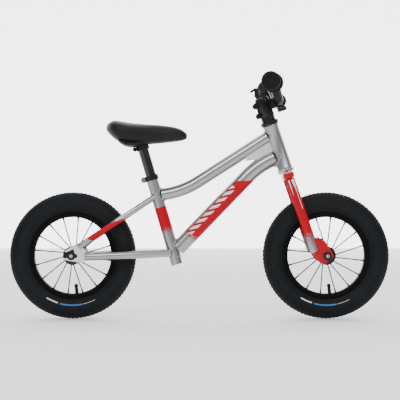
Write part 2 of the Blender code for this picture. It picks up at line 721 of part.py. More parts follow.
def make_seat_clamp():
    """The collar round the top of the seat tube, split at the rear, and its bolt."""
    high = SEAT_TUBE_LENGTH + 0.002
    low = high - COLLAR_HEIGHT
    collar = ring("seat_clamp", SEAT_TUBE_RADIUS + GAP, COLLAR_RADIUS, low, high, "black_metal",
                  SEAT)
    middle = (low + high) / 2
    ear = across(SEAT, (-COLLAR_BOLT_SETBACK, 0.0, middle))
    join(collar, rod("seat_clamp_ear", 0.0056, -0.0085, 0.0085, None, ear, steps=14))
    join(collar, box("seat_clamp_neck", (-COLLAR_BOLT_SETBACK, -0.0085, low + 0.0005),
                     (-SEAT_TUBE_RADIUS + 0.0015, 0.0085, high - 0.0005), None, SEAT))
    bore = rod("seat_clamp_bore", SEAT_TUBE_RADIUS + GAP, low - 0.01, high + 0.01, None, SEAT)
    slit = box("seat_clamp_slit", (-0.040, -STEM_SLIT / 2, low - 0.01),
               (0.0, STEM_SLIT / 2, high + 0.01), None, SEAT)
    cut(collar, bore, slit, bolt_hole("seat_clamp_hole", ear, -0.02, 0.02))
    screw = bolt("seat_clamp_bolt", ear, -0.0085, 0.0085 + GAP)
    return [collar, screw]


# ---------------------------------------------------------------- seat

def loft(name, stations, finish=None, points=14, power=2.6):
    """A closed skin through rounded sections: (x, low z, high z, half width) each."""
    def build(bm):
        rings = []
        for x, low, high, half in stations:
            middle = (low + high) / 2
            rise = (high - low) / 2
            section = []
            for step in range(points):
                angle = 2 * math.pi * step / points
                c, s = math.cos(angle), math.sin(angle)
                y = half * math.copysign(abs(c) ** (2 / power), c)
                z = middle + rise * math.copysign(abs(s) ** (2 / power), s)
                section.append(bm.verts.new((x, y, z)))
            rings.append(section)
        for first, second in zip(rings, rings[1:]):
            for step in range(points):
                after = (step + 1) % points
                bm.faces.new((first[step], first[after], second[after], second[step]))
        bm.faces.new(list(reversed(rings[0])))
        bm.faces.new(rings[-1])
        bmesh.ops.recalc_face_normals(bm, faces=bm.faces)

    mesh = mesh_from(name, build)
    soften(mesh)
    return add_object(name, mesh, finish)


# Saddle sections relative to the top of the seat post: x, low, high, half width
SADDLE_STATIONS = (
    (-0.0845, 0.0310, 0.0400, 0.022), (-0.0770, 0.0215, 0.0500, 0.042),
    (-0.0640, 0.0095, 0.0535, 0.056), (-0.0520, 0.0030, 0.0512, 0.061),
    (-0.0400, 0.0000, 0.0492, 0.061), (-0.0280, -0.0005, 0.0470, 0.057),
    (-0.0040, -0.0005, 0.0445, 0.046), (0.0210, 0.0000, 0.0427, 0.035),
    (0.0450, 0.0025, 0.0415, 0.029), (0.0690, 0.0050, 0.0390, 0.027),
    (0.0900, 0.0075, 0.0335, 0.024), (0.1020, 0.0100, 0.0260, 0.017),
    (0.1080, 0.0125, 0.0190, 0.009),
)
BASE_STATIONS = (
    (-0.0620, 0.0125, 0.0180, 0.034), (-0.0520, 0.0000, 0.0130, 0.046),
    (-0.0400, -0.0075, 0.0095, 0.051), (-0.0280, -0.0100, 0.0085, 0.048),
    (-0.0130, -0.0095, 0.0080, 0.042), (0.0000, -0.0030, 0.0080, 0.036),
    (0.0210, 0.0020, 0.0080, 0.027), (0.0450, 0.0045, 0.0105, 0.021),
    (0.0690, 0.0070, 0.0130, 0.019), (0.0880, 0.0100, 0.0150, 0.015),
)


def saddle_place(stations, grow=0.0):
    """Stations moved to the post's top, grown all round by a clearance."""
    top = SEAT @ Vector((0.0, 0.0, POST_TOP))
    placed = []
    for index, (x, low, high, half) in enumerate(stations):
        reach = grow * ((index == len(stations) - 1) - (index == 0))
        placed.append((top.x + x + reach, top.z + low - grow, top.z + high + grow, half + grow))
    return placed


def make_seat():
    """Post, saddle base with its clamp boss, padded cover and clamp bolt."""
    post = ring("seat_post", POST_RADIUS - POST_WALL, POST_RADIUS, POST_BOTTOM, POST_TOP,
                "black_metal", SEAT)
    base = loft("saddle_base", saddle_place(BASE_STATIONS), "black_plastic", points=12)
    cover = loft("saddle_cover", saddle_place(SADDLE_STATIONS), "black_cover")
    cut(cover, loft("saddle_base_space", saddle_place(BASE_STATIONS, GAP), points=12))

    top = POST_TOP + GAP
    ear_level = BOSS_BOTTOM + 0.0065
    setback = BOSS_RADIUS + 0.0035
    boss = rod("saddle_boss", BOSS_RADIUS, BOSS_BOTTOM, top + 0.003, None, SEAT)
    ear_frame = across(SEAT, (-setback, 0.0, ear_level))
    ear = rod("saddle_boss_ear", 0.0052, -0.009, 0.009, None, ear_frame, steps=16)
    bore = rod("saddle_boss_bore", POST_RADIUS + GAP, BOSS_BOTTOM - 0.02, top, None, SEAT)
    slit = box("saddle_boss_slit", (-0.040, -STEM_SLIT / 2, BOSS_BOTTOM - 0.005),
               (0.0, STEM_SLIT / 2, BOSS_BOTTOM + 0.0125), None, SEAT)
    boss_space = rod("saddle_boss_space", BOSS_RADIUS + GAP, BOSS_BOTTOM - 0.02,
                     top + 0.003 + GAP, None, SEAT)
    join(base, boss, ear)
    cut(base, bore, slit, bolt_hole("saddle_boss_hole", ear_frame, -0.03, 0.03))
    cut(cover, boss_space)
    screw = bolt("saddle_clamp_bolt", ear_frame, -0.009, 0.009 + GAP)
    return [post, base, cover, screw]


# ---------------------------------------------------------------- fork and stem

def oval_leg(name, side, grow, low, high, finish=None):
    """A straight oval leg, deeper fore and aft than it is wide."""
    def build(bm):
        size = Matrix.Diagonal((FORK_LEG_DEPTH / 2 + grow, FORK_LEG_WIDTH / 2 + grow, 1.0, 1.0))
        place = Matrix.Translation((0.0, side * FORK_LEG_OFFSET, (low + high) / 2))
        bmesh.ops.create_cone(bm, cap_ends=True, segments=16, radius1=1.0, radius2=1.0,
                              depth=high - low, matrix=place @ size)

    mesh = mesh_from(name, build)
    soften(mesh)
    return add_object(name, mesh, finish, STEER)


def make_fork():
    """Crown, steerer and the two legs with their dropouts."""
    pieces = []
    width = FORK_LEG_OFFSET + FORK_LEG_WIDTH / 2
    half = CROWN_DEPTH / 2
    crown = box("fork_crown", (-half, -width, CROWN_LOW), (half, width, CROWN_HIGH), "red", STEER)
    bevel = crown.modifiers.new("round", "BEVEL")
    bevel.width = 0.004
    bevel.segments = 2
    bevel.limit_method = "ANGLE"
    pieces.append(crown)
    pieces.append(ring("steerer_tube", STEERER_RADIUS - STEERER_WALL, STEERER_RADIUS,
                       CROWN_HIGH + GAP, STEM_HIGH - 0.002, "steel", STEER))
    pieces.append(ring("crown_race", STEERER_RADIUS + GAP, CROWN_RACE_RADIUS, CROWN_HIGH + GAP,
                       RACE_HIGH, "silver", STEER))
    for hand, side in (("right", -1), ("left", 1)):
        leg = oval_leg("fork_leg_" + hand, side, 0.0, FORK_LEG_FOOT, CROWN_LOW - GAP, "red")
        bore = oval_leg("fork_leg_bore_" + hand, side, -FORK_LEG_WALL, 0.0, CROWN_LOW + 0.01)
        cut(leg, bore)
        space = oval_leg("fork_leg_space_" + hand, side, GAP, FORK_LEG_FOOT - GAP, CROWN_LOW)
        middle = side * (DROPOUT_INNER + DROPOUT_THICKNESS / 2)
        dropout = plate("fork_dropout_" + hand, front_dropout_outline(), middle,
                        DROPOUT_THICKNESS, "red")
        behind = box("fork_dropout_trim_" + hand, (-0.060, side * FORK_LEG_OFFSET - 0.02,
                     FORK_LEG_FOOT + 0.0002), (0.002, side * FORK_LEG_OFFSET + 0.02, 0.080),
                     None, STEER)
        cut(dropout, space, behind)
        pieces += [leg, dropout]
    return pieces


def make_stem():
    """Headset cover, stem, faceplate, top cap and their bolts."""
    bar = across(STEER, (STEM_REACH, 0.0, BAR_LEVEL))
    pieces = []
    cover = [(STEM_RADIUS - 0.001, STEM_LOW - GAP), (STEM_RADIUS - 0.0015, COVER_LOW + 0.008),
             (CUP_RADIUS - 0.001, COVER_LOW), (STEERER_RADIUS + GAP, COVER_LOW),
             (STEERER_RADIUS + GAP, STEM_LOW - GAP)]
    pieces.append(turned("headset_cover", cover, "black_metal", STEER))

    stem = rod("stem", STEM_RADIUS, STEM_LOW, STEM_HIGH, "black_metal", STEER)
    half_face = FACE_BOLT_SPACING / 2
    lug = half_face + 0.0055
    ears = box("stem_ears", (-PINCH_BOLT_SETBACK - 0.0055, -0.0100, STEM_LOW + 0.001),
               (-0.006, 0.0100, STEM_HIGH - 0.004), None, STEER)
    arm = box("stem_arm", (0.0, -STEM_ARM_WIDTH / 2, BAR_LEVEL - STEM_ARM_HEIGHT / 2),
              (STEM_REACH - 0.007, STEM_ARM_WIDTH / 2, BAR_LEVEL + STEM_ARM_HEIGHT / 2), None, STEER)
    clamp = rod("stem_clamp", STEM_CLAMP_RADIUS, -STEM_CLAMP_WIDTH / 2, STEM_CLAMP_WIDTH / 2,
                None, bar)
    lugs = box("stem_lugs", (STEM_REACH - 0.009, -0.0065, BAR_LEVEL - lug),
               (STEM_REACH + 0.0012, 0.0065, BAR_LEVEL + lug), None, STEER)
    join(stem, ears, arm, clamp, lugs)
    steerer_bore = rod("stem_steerer_bore", STEERER_RADIUS + GAP, STEM_LOW - 0.01,
                       STEM_HIGH + 0.01, None, STEER)
    bar_bore = rod("stem_bar_bore", BAR_RADIUS + GAP, -0.04, 0.04, None, bar, steps=22)
    front = box("stem_front_space", (STEM_REACH - GAP, -0.04, BAR_LEVEL - 0.04),
                (STEM_REACH + 0.04, 0.04, BAR_LEVEL + 0.04), None, STEER)
    slit = box("stem_slit", (-0.040, -STEM_SLIT / 2, STEM_LOW - 0.01),
               (0.0, STEM_SLIT / 2, STEM_HIGH + 0.01), None, STEER)
    cut(stem, front, bar_bore, slit)
    pieces.append(stem)

    plate_piece = rod("stem_faceplate", STEM_CLAMP_RADIUS, -STEM_CLAMP_WIDTH / 2,
                      STEM_CLAMP_WIDTH / 2, "black_metal", bar)
    face_lugs = box("faceplate_lugs", (STEM_REACH - 0.0012, -0.0065, BAR_LEVEL - lug),
                    (STEM_REACH + 0.0080, 0.0065, BAR_LEVEL + lug), None, STEER)
    back = box("faceplate_back_space", (STEM_REACH - 0.04, -0.04, BAR_LEVEL - 0.04),
               (STEM_REACH + GAP, 0.04, BAR_LEVEL + 0.04), None, STEER)
    join(plate_piece, face_lugs)
    cut(plate_piece, bar_bore, back)
    pieces.append(plate_piece)

    centre = (STEM_LOW + STEM_HIGH) / 2 - 0.0015
    for name, sign in (("upper", 1), ("lower", -1)):
        level = centre + sign * PINCH_BOLT_SPACING / 2
        pinch = across(STEER, (-PINCH_BOLT_SETBACK, 0.0, level))
        cut(stem, bolt_hole("pinch_hole_" + name, pinch, -0.03, 0.03))
        pieces.append(bolt("stem_pinch_bolt_" + name, pinch, -0.010, 0.010 + GAP))
        level = BAR_LEVEL + sign * half_face
        face = STEER @ Matrix.Translation((STEM_REACH, 0.0, level))
        face = face @ Matrix.Rotation(math.pi / 2, 4, "Y")
        cut(plate_piece, bolt_hole("face_hole_" + name, face, -0.02, 0.02))
        cut(stem, bolt_hole("face_thread_" + name, face, -0.02, 0.02))
        pieces.append(bolt("faceplate_bolt_" + name, face, -0.009, 0.0080 + GAP))
    cut(stem, steerer_bore)

    low = STEM_HIGH + GAP
    cap = [(0.0, low + STEM_CAP_HEIGHT), (STEM_RADIUS - 0.003, low + STEM_CAP_HEIGHT),
           (STEM_RADIUS - 0.0008, low + STEM_CAP_HEIGHT - 0.0015), (STEM_RADIUS - 0.0008, low),
           (0.0, low)]
    pieces.append(turned("stem_top_cap", cap, "black_metal", STEER, closed=False))
    return pieces


# ---------------------------------------------------------------- bars and bell

def bar_point(side, half, back, up):
    """A place on the bars, measured from their centre in the stem."""
    return BAR_CENTRE + Vector((-back, side * half, up))


def bar_half(side):
    knee = bar_point(side, BAR_KNEE_HALF, BAR_KNEE_SETBACK, BAR_RISE)
    end = bar_point(side, BAR_HALF_WIDTH - GRIP_CAP - GAP, BAR_KNEE_SETBACK + BAR_END_SETBACK,
                    BAR_RISE - BAR_END_DROP)
    return bar_point(side, BAR_CENTRE_HALF, 0.0, 0.0), knee, end


def grip_frame(side):
    """A frame at the bar's end whose Z runs outwards along the bar."""
    unused_bend, knee, end = bar_half(side)
    turn = (end - knee).to_track_quat("Z", "Y").to_matrix().to_4x4()
    return Matrix.Translation(end) @ turn


def grip_profile():
    """A sleeve with a guard at its inner end and a rounded bumper at its outer end."""
    bore = BAR_RADIUS + GAP
    top = GAP + GRIP_CAP
    low = top - GRIP_LENGTH
    outer = [(0.0, top), (GRIP_END_RADIUS * 0.80, top), (GRIP_END_RADIUS, top - 0.003)]
    outer += [(GRIP_END_RADIUS, top - 0.009), (GRIP_RADIUS, top - 0.015)]
    outer += [(GRIP_RADIUS + 0.0008, (top + low) / 2), (GRIP_RADIUS, low + 0.007)]
    outer += [(GRIP_FLANGE_RADIUS, low + 0.004), (GRIP_FLANGE_RADIUS, low)]
    return outer + [(bore, low), (bore, GAP), (0.0, GAP)]


def make_bars():
    """Riser handlebar, two grips, and the bell with its clamp."""
    right, left = bar_half(-1), bar_half(1)
    corners = [right[2], right[1], right[0], left[0], left[1], left[2]]
    bends = [BAR_KNEE_BEND, BAR_CENTRE_BEND, BAR_CENTRE_BEND, BAR_KNEE_BEND]
    pieces = [tube("handlebar", bent_path(corners, bends, steps=3), (BAR_RADIUS,) * 2,
                   "black_metal")]
    for hand, side in (("right", -1), ("left", 1)):
        pieces.append(turned("grip_" + hand, grip_profile(), "black_rubber", grip_frame(side),
                             closed=False))
    clamp, lever = make_bell()
    return pieces + clamp, lever


def make_bell():
    """The bell's clamp and base, its dome and its thumb lever."""
    unused_bend, knee, end = bar_half(-1)
    share = (BELL_SIDE - knee.y) / (end.y - knee.y)
    on_bar = knee.lerp(end, share)
    turn = (end - knee).to_track_quat("Z", "Y").to_matrix().to_4x4()
    half = BELL_CLAMP_WIDTH / 2
    outer = BAR_RADIUS + GAP + BELL_CLAMP_WALL
    clamp = ring("bell_clamp", BAR_RADIUS + GAP, outer, -half, half, "black_plastic",
                 Matrix.Translation(on_bar) @ turn)
    centre = on_bar + Vector((-BELL_SETBACK, 0.0, -BELL_DROP))
    rear = Matrix.Translation(centre) @ Matrix.Rotation(-math.pi / 2, 4, "Y")
    base = rod("bell_base_disc", BELL_RADIUS - 0.004, -0.003, 0.0, None, rear)
    start = rear.inverted() @ on_bar
    stalk = box("bell_stalk", (-0.0045, -0.0045, start.z + 0.004), (0.0075, 0.0045, -0.001), None,
                rear)
    lug = box("bell_lug", (-BELL_PIVOT_DROP - 0.0035, -0.0018, -0.0055), (-0.004, 0.0018, -0.0005),
              None, rear)
    pivot = centre + Vector((0.0030, 0.0, -BELL_PIVOT_DROP))
    pin_frame = Matrix.Translation(pivot) @ Matrix.Rotation(math.pi / 2, 4, "X")
    near = -0.0018 - 2 * GAP
    pin = rod("bell_pin", 0.0013, near - LEVER_WIDTH - 0.0005, 0.001, None, pin_frame, steps=12)
    join(clamp, base, stalk, lug, pin)
    bore = rod("bell_clamp_bore", BAR_RADIUS + GAP, -0.02, 0.02, None,
               Matrix.Translation(on_bar) @ turn)
    cut(clamp, bore)

    profile = []
    steps = 4
    for step in range(steps + 1):
        angle = math.pi / 2 * step / steps
        profile.append((BELL_RADIUS * math.sin(angle), BELL_DEPTH * math.cos(angle) + GAP))
    inner = []
    for step in range(steps, -1, -1):
        angle = math.pi / 2 * step / steps
        inner.append(((BELL_RADIUS - BELL_WALL) * math.sin(angle),
                      (BELL_DEPTH - BELL_WALL) * math.cos(angle) + GAP))
    boss = [(0.0, BELL_DEPTH - BELL_WALL + GAP)]
    dome = turned("bell_dome", profile + inner[:-1] + boss, "black_metal", rear, closed=False)
    join(dome, rod("bell_dome_post", 0.0025, GAP, BELL_DEPTH - BELL_WALL / 2, None, rear, 12))

    side = -near + LEVER_WIDTH / 2
    lever = rod("bell_lever", 0.0034, near - LEVER_WIDTH, near, "black_plastic", pin_frame, 16)
    thick = LEVER_THICKNESS / 2
    foot = pivot.x - LEVER_REACH
    sole = pivot.z - 0.0036
    low_y = pivot.y + side - LEVER_WIDTH / 2
    high_y = pivot.y + side + LEVER_WIDTH / 2
    arm = box("lever_arm", (foot, low_y + 0.00005, sole), (pivot.x, high_y - 0.00005,
                                                        sole + 2 * thick))
    post = box("lever_post", (foot - thick, low_y + 0.0001, sole + 0.0001),
               (foot + thick, high_y - 0.0001, sole + LEVER_RISE))
    pad = box("lever_pad", (foot - 0.0110, low_y - 0.0040, sole + LEVER_RISE - 0.0040),
              (foot + thick + 0.0002, high_y + 0.0040, sole + LEVER_RISE - 0.0012))
    join(lever, arm, post, pad)
    cut(lever, rod("lever_hole", 0.0013 + GAP, near - 0.02, 0.02, None, pin_frame, 12))
    return [clamp, dome], (lever, pin_frame)


# ---------------------------------------------------------------- assembly

def main():
    make_frame()
    make_axle("rear", REAR_AXLE)
    parent_all(joint_empty("rear_wheel_axis", Matrix.Translation(REAR_AXLE)),
               make_wheel("rear", REAR_AXLE))
    parent_all(joint_empty("seat_height_axis", SEAT), make_seat())

    steering = joint_empty("steering_axis", STEER)
    parent_all(steering, make_fork() + make_stem() + make_axle("front", FRONT_AXLE))
    front = joint_empty("front_wheel_axis", Matrix.Translation(FRONT_AXLE))
    parent_all(front, make_wheel("front", FRONT_AXLE))
    bars = joint_empty("bar_roll_axis", Matrix.Translation(BAR_CENTRE))
    bar_pieces, (lever, pin_frame) = make_bars()
    parent_all(bars, bar_pieces)
    lever_axis = joint_empty("bell_lever_axis", pin_frame)
    parent_all(lever_axis, [lever])
    parent_all(bars, [lever_axis])
    parent_all(steering, [front, bars])


main()
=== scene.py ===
"""A children's balance bike: its visible surfaces, built round the fixed frame."""
import json
import logging
import math
from dataclasses import dataclass
from enum import Enum
from typing import Any, Callable, Sequence

import bmesh
import bpy
import numpy as np
from mathutils import Matrix, Vector

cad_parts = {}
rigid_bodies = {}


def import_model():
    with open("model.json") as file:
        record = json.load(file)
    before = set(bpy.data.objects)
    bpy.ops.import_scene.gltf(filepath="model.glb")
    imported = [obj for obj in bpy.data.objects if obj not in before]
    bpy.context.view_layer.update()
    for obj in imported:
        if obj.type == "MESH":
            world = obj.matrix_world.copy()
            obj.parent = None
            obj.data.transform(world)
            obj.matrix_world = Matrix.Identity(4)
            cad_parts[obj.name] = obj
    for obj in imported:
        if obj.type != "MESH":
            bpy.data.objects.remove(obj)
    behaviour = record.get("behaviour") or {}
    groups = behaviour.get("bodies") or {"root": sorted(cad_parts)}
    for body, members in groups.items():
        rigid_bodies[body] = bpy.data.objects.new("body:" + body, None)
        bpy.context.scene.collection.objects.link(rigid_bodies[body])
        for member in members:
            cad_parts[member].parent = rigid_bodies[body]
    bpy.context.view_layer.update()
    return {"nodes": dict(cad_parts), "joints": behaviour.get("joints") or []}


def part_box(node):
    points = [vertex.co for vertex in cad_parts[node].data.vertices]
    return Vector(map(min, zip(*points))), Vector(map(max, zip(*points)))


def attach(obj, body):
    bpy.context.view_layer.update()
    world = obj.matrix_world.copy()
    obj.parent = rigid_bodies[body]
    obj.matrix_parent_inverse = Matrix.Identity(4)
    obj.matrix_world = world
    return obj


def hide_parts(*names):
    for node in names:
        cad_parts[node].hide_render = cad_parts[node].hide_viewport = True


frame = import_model()
logging.basicConfig(level=logging.INFO, format="%(message)s")
LOG = logging.getLogger("balance_bike")
JOINTS = {joint["name"]: joint for joint in frame["joints"]}
TAU = 2 * math.pi
CREASE = math.radians(38)
TO_AXLE = Matrix.Rotation(-math.pi / 2, 4, "X")
HANDS = (("right", -1), ("left", 1))
TYRE_MIDDLE = 0.1270  # wheel's axis to the middle of the tyre's section
TYRE_TALL = 0.0246  # half the height of the tyre's section
SPOKES = 16
VALVE_ANGLE = math.radians(84.25)
SEAT_TUBE_LENGTH = 0.2215
CLUSTER_LEVEL = 0.1735  # where the top tube and the seat stays meet the seat tube
JUNCTION_LEVEL = 0.0292  # where the down tube and the chain stays meet it
TOP_TUBE_RADIUS = 0.0150
DOWN_TUBE_RADIUS = 0.0185
SEAT_TUBE_RADIUS = 0.0143
HEAD_TUBE_RADIUS = 0.0182
BAR_REACH = 0.0370  # bar clamp's middle ahead of the steering axis
BAR_LEVEL = 0.3796
Point = tuple[float, float]


class Body(Enum):
    """The rigid bodies that the pieces ride on."""

    FRAME = "frame"
    SEAT = "seat"
    FORK = "fork"
    BARS = "bars"
    LEVER = "bell_lever"
    FRONT_WHEEL = "front_wheel"
    REAR_WHEEL = "rear_wheel"


class Slot(Enum):
    """The record's material slots."""

    SILVER = "frame_silver"
    STEEL = "steel"
    RED = "red_paint"
    BLACK_METAL = "black_metal"
    TYRE = "tyre_rubber"
    GRIP = "grip_rubber"
    PLASTIC = "black_plastic"
    SADDLE = "saddle_cover"


# ------------------------------------------------------------------ node trees


@dataclass(frozen=True)
class Sock:
    """An output socket whose arithmetic adds Math nodes to its tree."""

    graph: "Graph"
    out: Any

    def _math(self, operation: str, *values: Any) -> "Sock":
        """A Math node on the given values."""
        return self.graph.node("ShaderNodeMath", {"operation": operation}, list(values))

    def __add__(self, other: Any) -> "Sock":
        """self + other."""
        return self._math("ADD", self, other)

    __radd__ = __add__

    def __sub__(self, other: Any) -> "Sock":
        """self - other."""
        return self._math("SUBTRACT", self, other)

    def __rsub__(self, other: Any) -> "Sock":
        """other - self."""
        return self._math("SUBTRACT", other, self)

    def __mul__(self, other: Any) -> "Sock":
        """self * other."""
        return self._math("MULTIPLY", self, other)

    __rmul__ = __mul__

    def __truediv__(self, other: Any) -> "Sock":
        """self / other."""
        return self._math("DIVIDE", self, other)

    def above(self, limit: Any, soft: float = 0.0) -> "Sock":
        """1 where this is above the limit, with an edge of the given softness."""
        if not soft:
            return self._math("GREATER_THAN", self, limit)
        return ((self - limit) / soft + 0.5).clamp()

    def below(self, limit: Any, soft: float = 0.0) -> "Sock":
        """1 where this is below the limit."""
        return 1 - self.above(limit, soft)

    def between(self, low: Any, high: Any, soft: float = 0.0) -> "Sock":
        """1 between two limits."""
        return self.above(low, soft) * self.below(high, soft)

    def clamp(self) -> "Sock":
        """Held to the range 0 to 1."""
        return self.graph.node("ShaderNodeClamp", {}, [self])

    def fraction(self) -> "Sock":
        """The part after the decimal point."""
        return self._math("FRACT", self)

    def sine(self) -> "Sock":
        """The sine."""
        return self._math("SINE", self)

    def size(self) -> "Sock":
        """The value without its sign."""
        return self._math("ABSOLUTE", self)

    def most(self, other: Any) -> "Sock":
        """The larger of two values."""
        return self._math("MAXIMUM", self, other)


class Graph:
    """A node tree, filled by one generic method."""

    def __init__(self, tree: bpy.types.NodeTree) -> None:
        """Wrap a tree."""
        self.tree = tree

    def node(self, kind: str, settings: dict[str, Any], values: Any = (), out: Any = 0) -> Sock:
        """Add one node.

        Args:
            kind: The node's type.
            settings: Its properties, set before its sockets.
            values: Sockets' values or links, as a list in order or a dict by name.
            out: The output wanted, by name or number.

        Returns:
            The chosen output, wrapped.
        """
        made = self.tree.nodes.new(kind)
        for name, value in settings.items():
            setattr(made, name, value)
        pairs = values.items() if isinstance(values, dict) else enumerate(values)
        for key, value in pairs:
            self.feed(made.inputs[key], value)
        return Sock(self, made.outputs[out])

    def feed(self, socket: bpy.types.NodeSocket, value: Any) -> None:
        """Link a wrapped output to a socket, or set the socket's own value."""
        if isinstance(value, Sock):
            self.tree.links.new(value.out, socket)
        elif value is not None:
            socket.default_value = value


class Shader(Graph):
    """A material's node tree round one Principled shader."""

    def __init__(self, name: str, rough: float, metal: float = 0.0, **fixed: Any) -> None:
        """Make the material.

        Args:
            name: The material's name.
            rough: Roughness where nothing varies it.
            metal: Metallic value.
            **fixed: Other sockets' constant values, with _ for a space.
        """
        self.material = bpy.data.materials.new(name)
        self.material.use_nodes = True
        super().__init__(self.material.node_tree)
        self.main = self.tree.nodes["Principled BSDF"]
        self.put("Roughness", rough)
        self.put("Metallic", metal)
        for key, value in fixed.items():
            self.put(key.replace("_", " "), value)

    def put(self, socket: str, value: Any) -> None:
        """Set or link one of the Principled shader's sockets."""
        self.feed(self.main.inputs[socket], value)

    def place(self) -> Sock:
        """Object coordinates."""
        return self.node("ShaderNodeTexCoord", {}, (), "Object")

    def along(self) -> tuple[Sock, Sock]:
        """The piece's own UV map: metres along it, and turns round it."""
        uv = self.node("ShaderNodeUVMap", {"uv_map": "surface"})
        split = self.node("ShaderNodeSeparateXYZ", {}, [uv])
        return split, Sock(self, split.out.node.outputs[1])

    def noise(self, scale: float, detail: float = 2.0,
              stretch: tuple[float, float, float] | None = None) -> Sock:
        """Noise from 0 to 1 on object coordinates.

        Args:
            scale: Features per metre.
            detail: Octaves.
            stretch: A scale for each axis, or None.

        Returns:
            The noise value.
        """
        vector = self.place()
        if stretch:
            vector = self.node("ShaderNodeMapping", {}, {"Vector": vector, "Scale": stretch})
        return self.node("ShaderNodeTexNoise", {}, {"Vector": vector, "Scale": scale,
                                                    "Detail": detail}, "Fac")

    def mix(self, mask: Any, first: Any, second: Any) -> Sock:
        """A colour between two, by a mask."""
        sockets = {0: mask, 6: first, 7: second}
        return self.node("ShaderNodeMix", {"data_type": "RGBA"}, sockets, 2)

    def bump(self, height: Sock, depth: float, strength: float = 1.0) -> None:
        """Raise the surface by a height in units of depth metres."""
        self.put("Normal", self.node("ShaderNodeBump", {}, {"Height": height, "Distance": depth,
                                                            "Strength": strength}))


def grey(value: float, blue: float = 0.0) -> tuple[float, float, float, float]:
    """A grey as a colour, a little blue if asked."""
    return (value, value * (1 + blue / 2), value * (1 + blue), 1.0)


RED = (0.46, 0.0002, 0.010, 1.0)
DEEP_RED = (0.38, 0.0002, 0.008, 1.0)
PALE = (0.78, 0.78, 0.80, 1.0)


@dataclass(frozen=True)
class Metal:
    """Bare or plated metal with fine scratches and handling marks."""

    name: str
    tone: float = 0.74
    rough: float = 0.22
    grain: tuple[float, float, float] = (1.0, 1.0, 1.0)

    def build(self) -> bpy.types.Material:
        """Make the material."""
        shade = Shader(self.name, self.rough, 1.0, Coat_Weight=0.25, Coat_Roughness=0.08)
        cloud = shade.noise(38.0, 3.0)
        fine = shade.noise(900.0, 2.0, stretch=self.grain)
        shade.put("Base Color", shade.mix(cloud, grey(self.tone * 0.94, 0.02),
                                          grey(self.tone * 1.05, 0.02)))
        shade.put("Roughness", self.rough + 0.10 * (fine - 0.5) + 0.05 * (cloud - 0.5))
        shade.bump(fine, 0.00002, 0.35)
        return shade.material


@dataclass(frozen=True)
class Coating:
    """Dark paint, plastic or rubber with a fine texture and random patches of tone and gloss."""

    name: str
    tone: float = 0.012
    rough: float = 0.4
    texture: float = 1500.0
    relief: float = 0.00003
    gloss: float = 0.5
    coat: float = 0.0
    blue: float = 0.15

    def build(self) -> bpy.types.Material:
        """Make the material."""
        shade = Shader(self.name, self.rough, 0.0, Specular_IOR_Level=self.gloss,
                       Coat_Weight=self.coat, Coat_Roughness=0.06)
        cloud = shade.noise(55.0, 4.0)
        fine = shade.noise(self.texture, 3.0)
        shade.put("Base Color", shade.mix(cloud, grey(self.tone * 0.8, self.blue),
                                          grey(self.tone * 1.25, self.blue)))
        shade.put("Roughness", (self.rough + 0.14 * (cloud - 0.5) + 0.08 * (fine - 0.5)).clamp())
        shade.bump(fine, self.relief, 0.6)
        return shade.material


class Graphic(Enum):
    """Where a tube's red panel lies, as lengths along it and turns round it."""

    SEAT_TUBE = "seat_tube"
    DOWN_TUBE = "down_tube"
    SEAT_STAY = "seat_stay"
    FORK_LEG = "fork_leg"
    PLAIN = "plain"


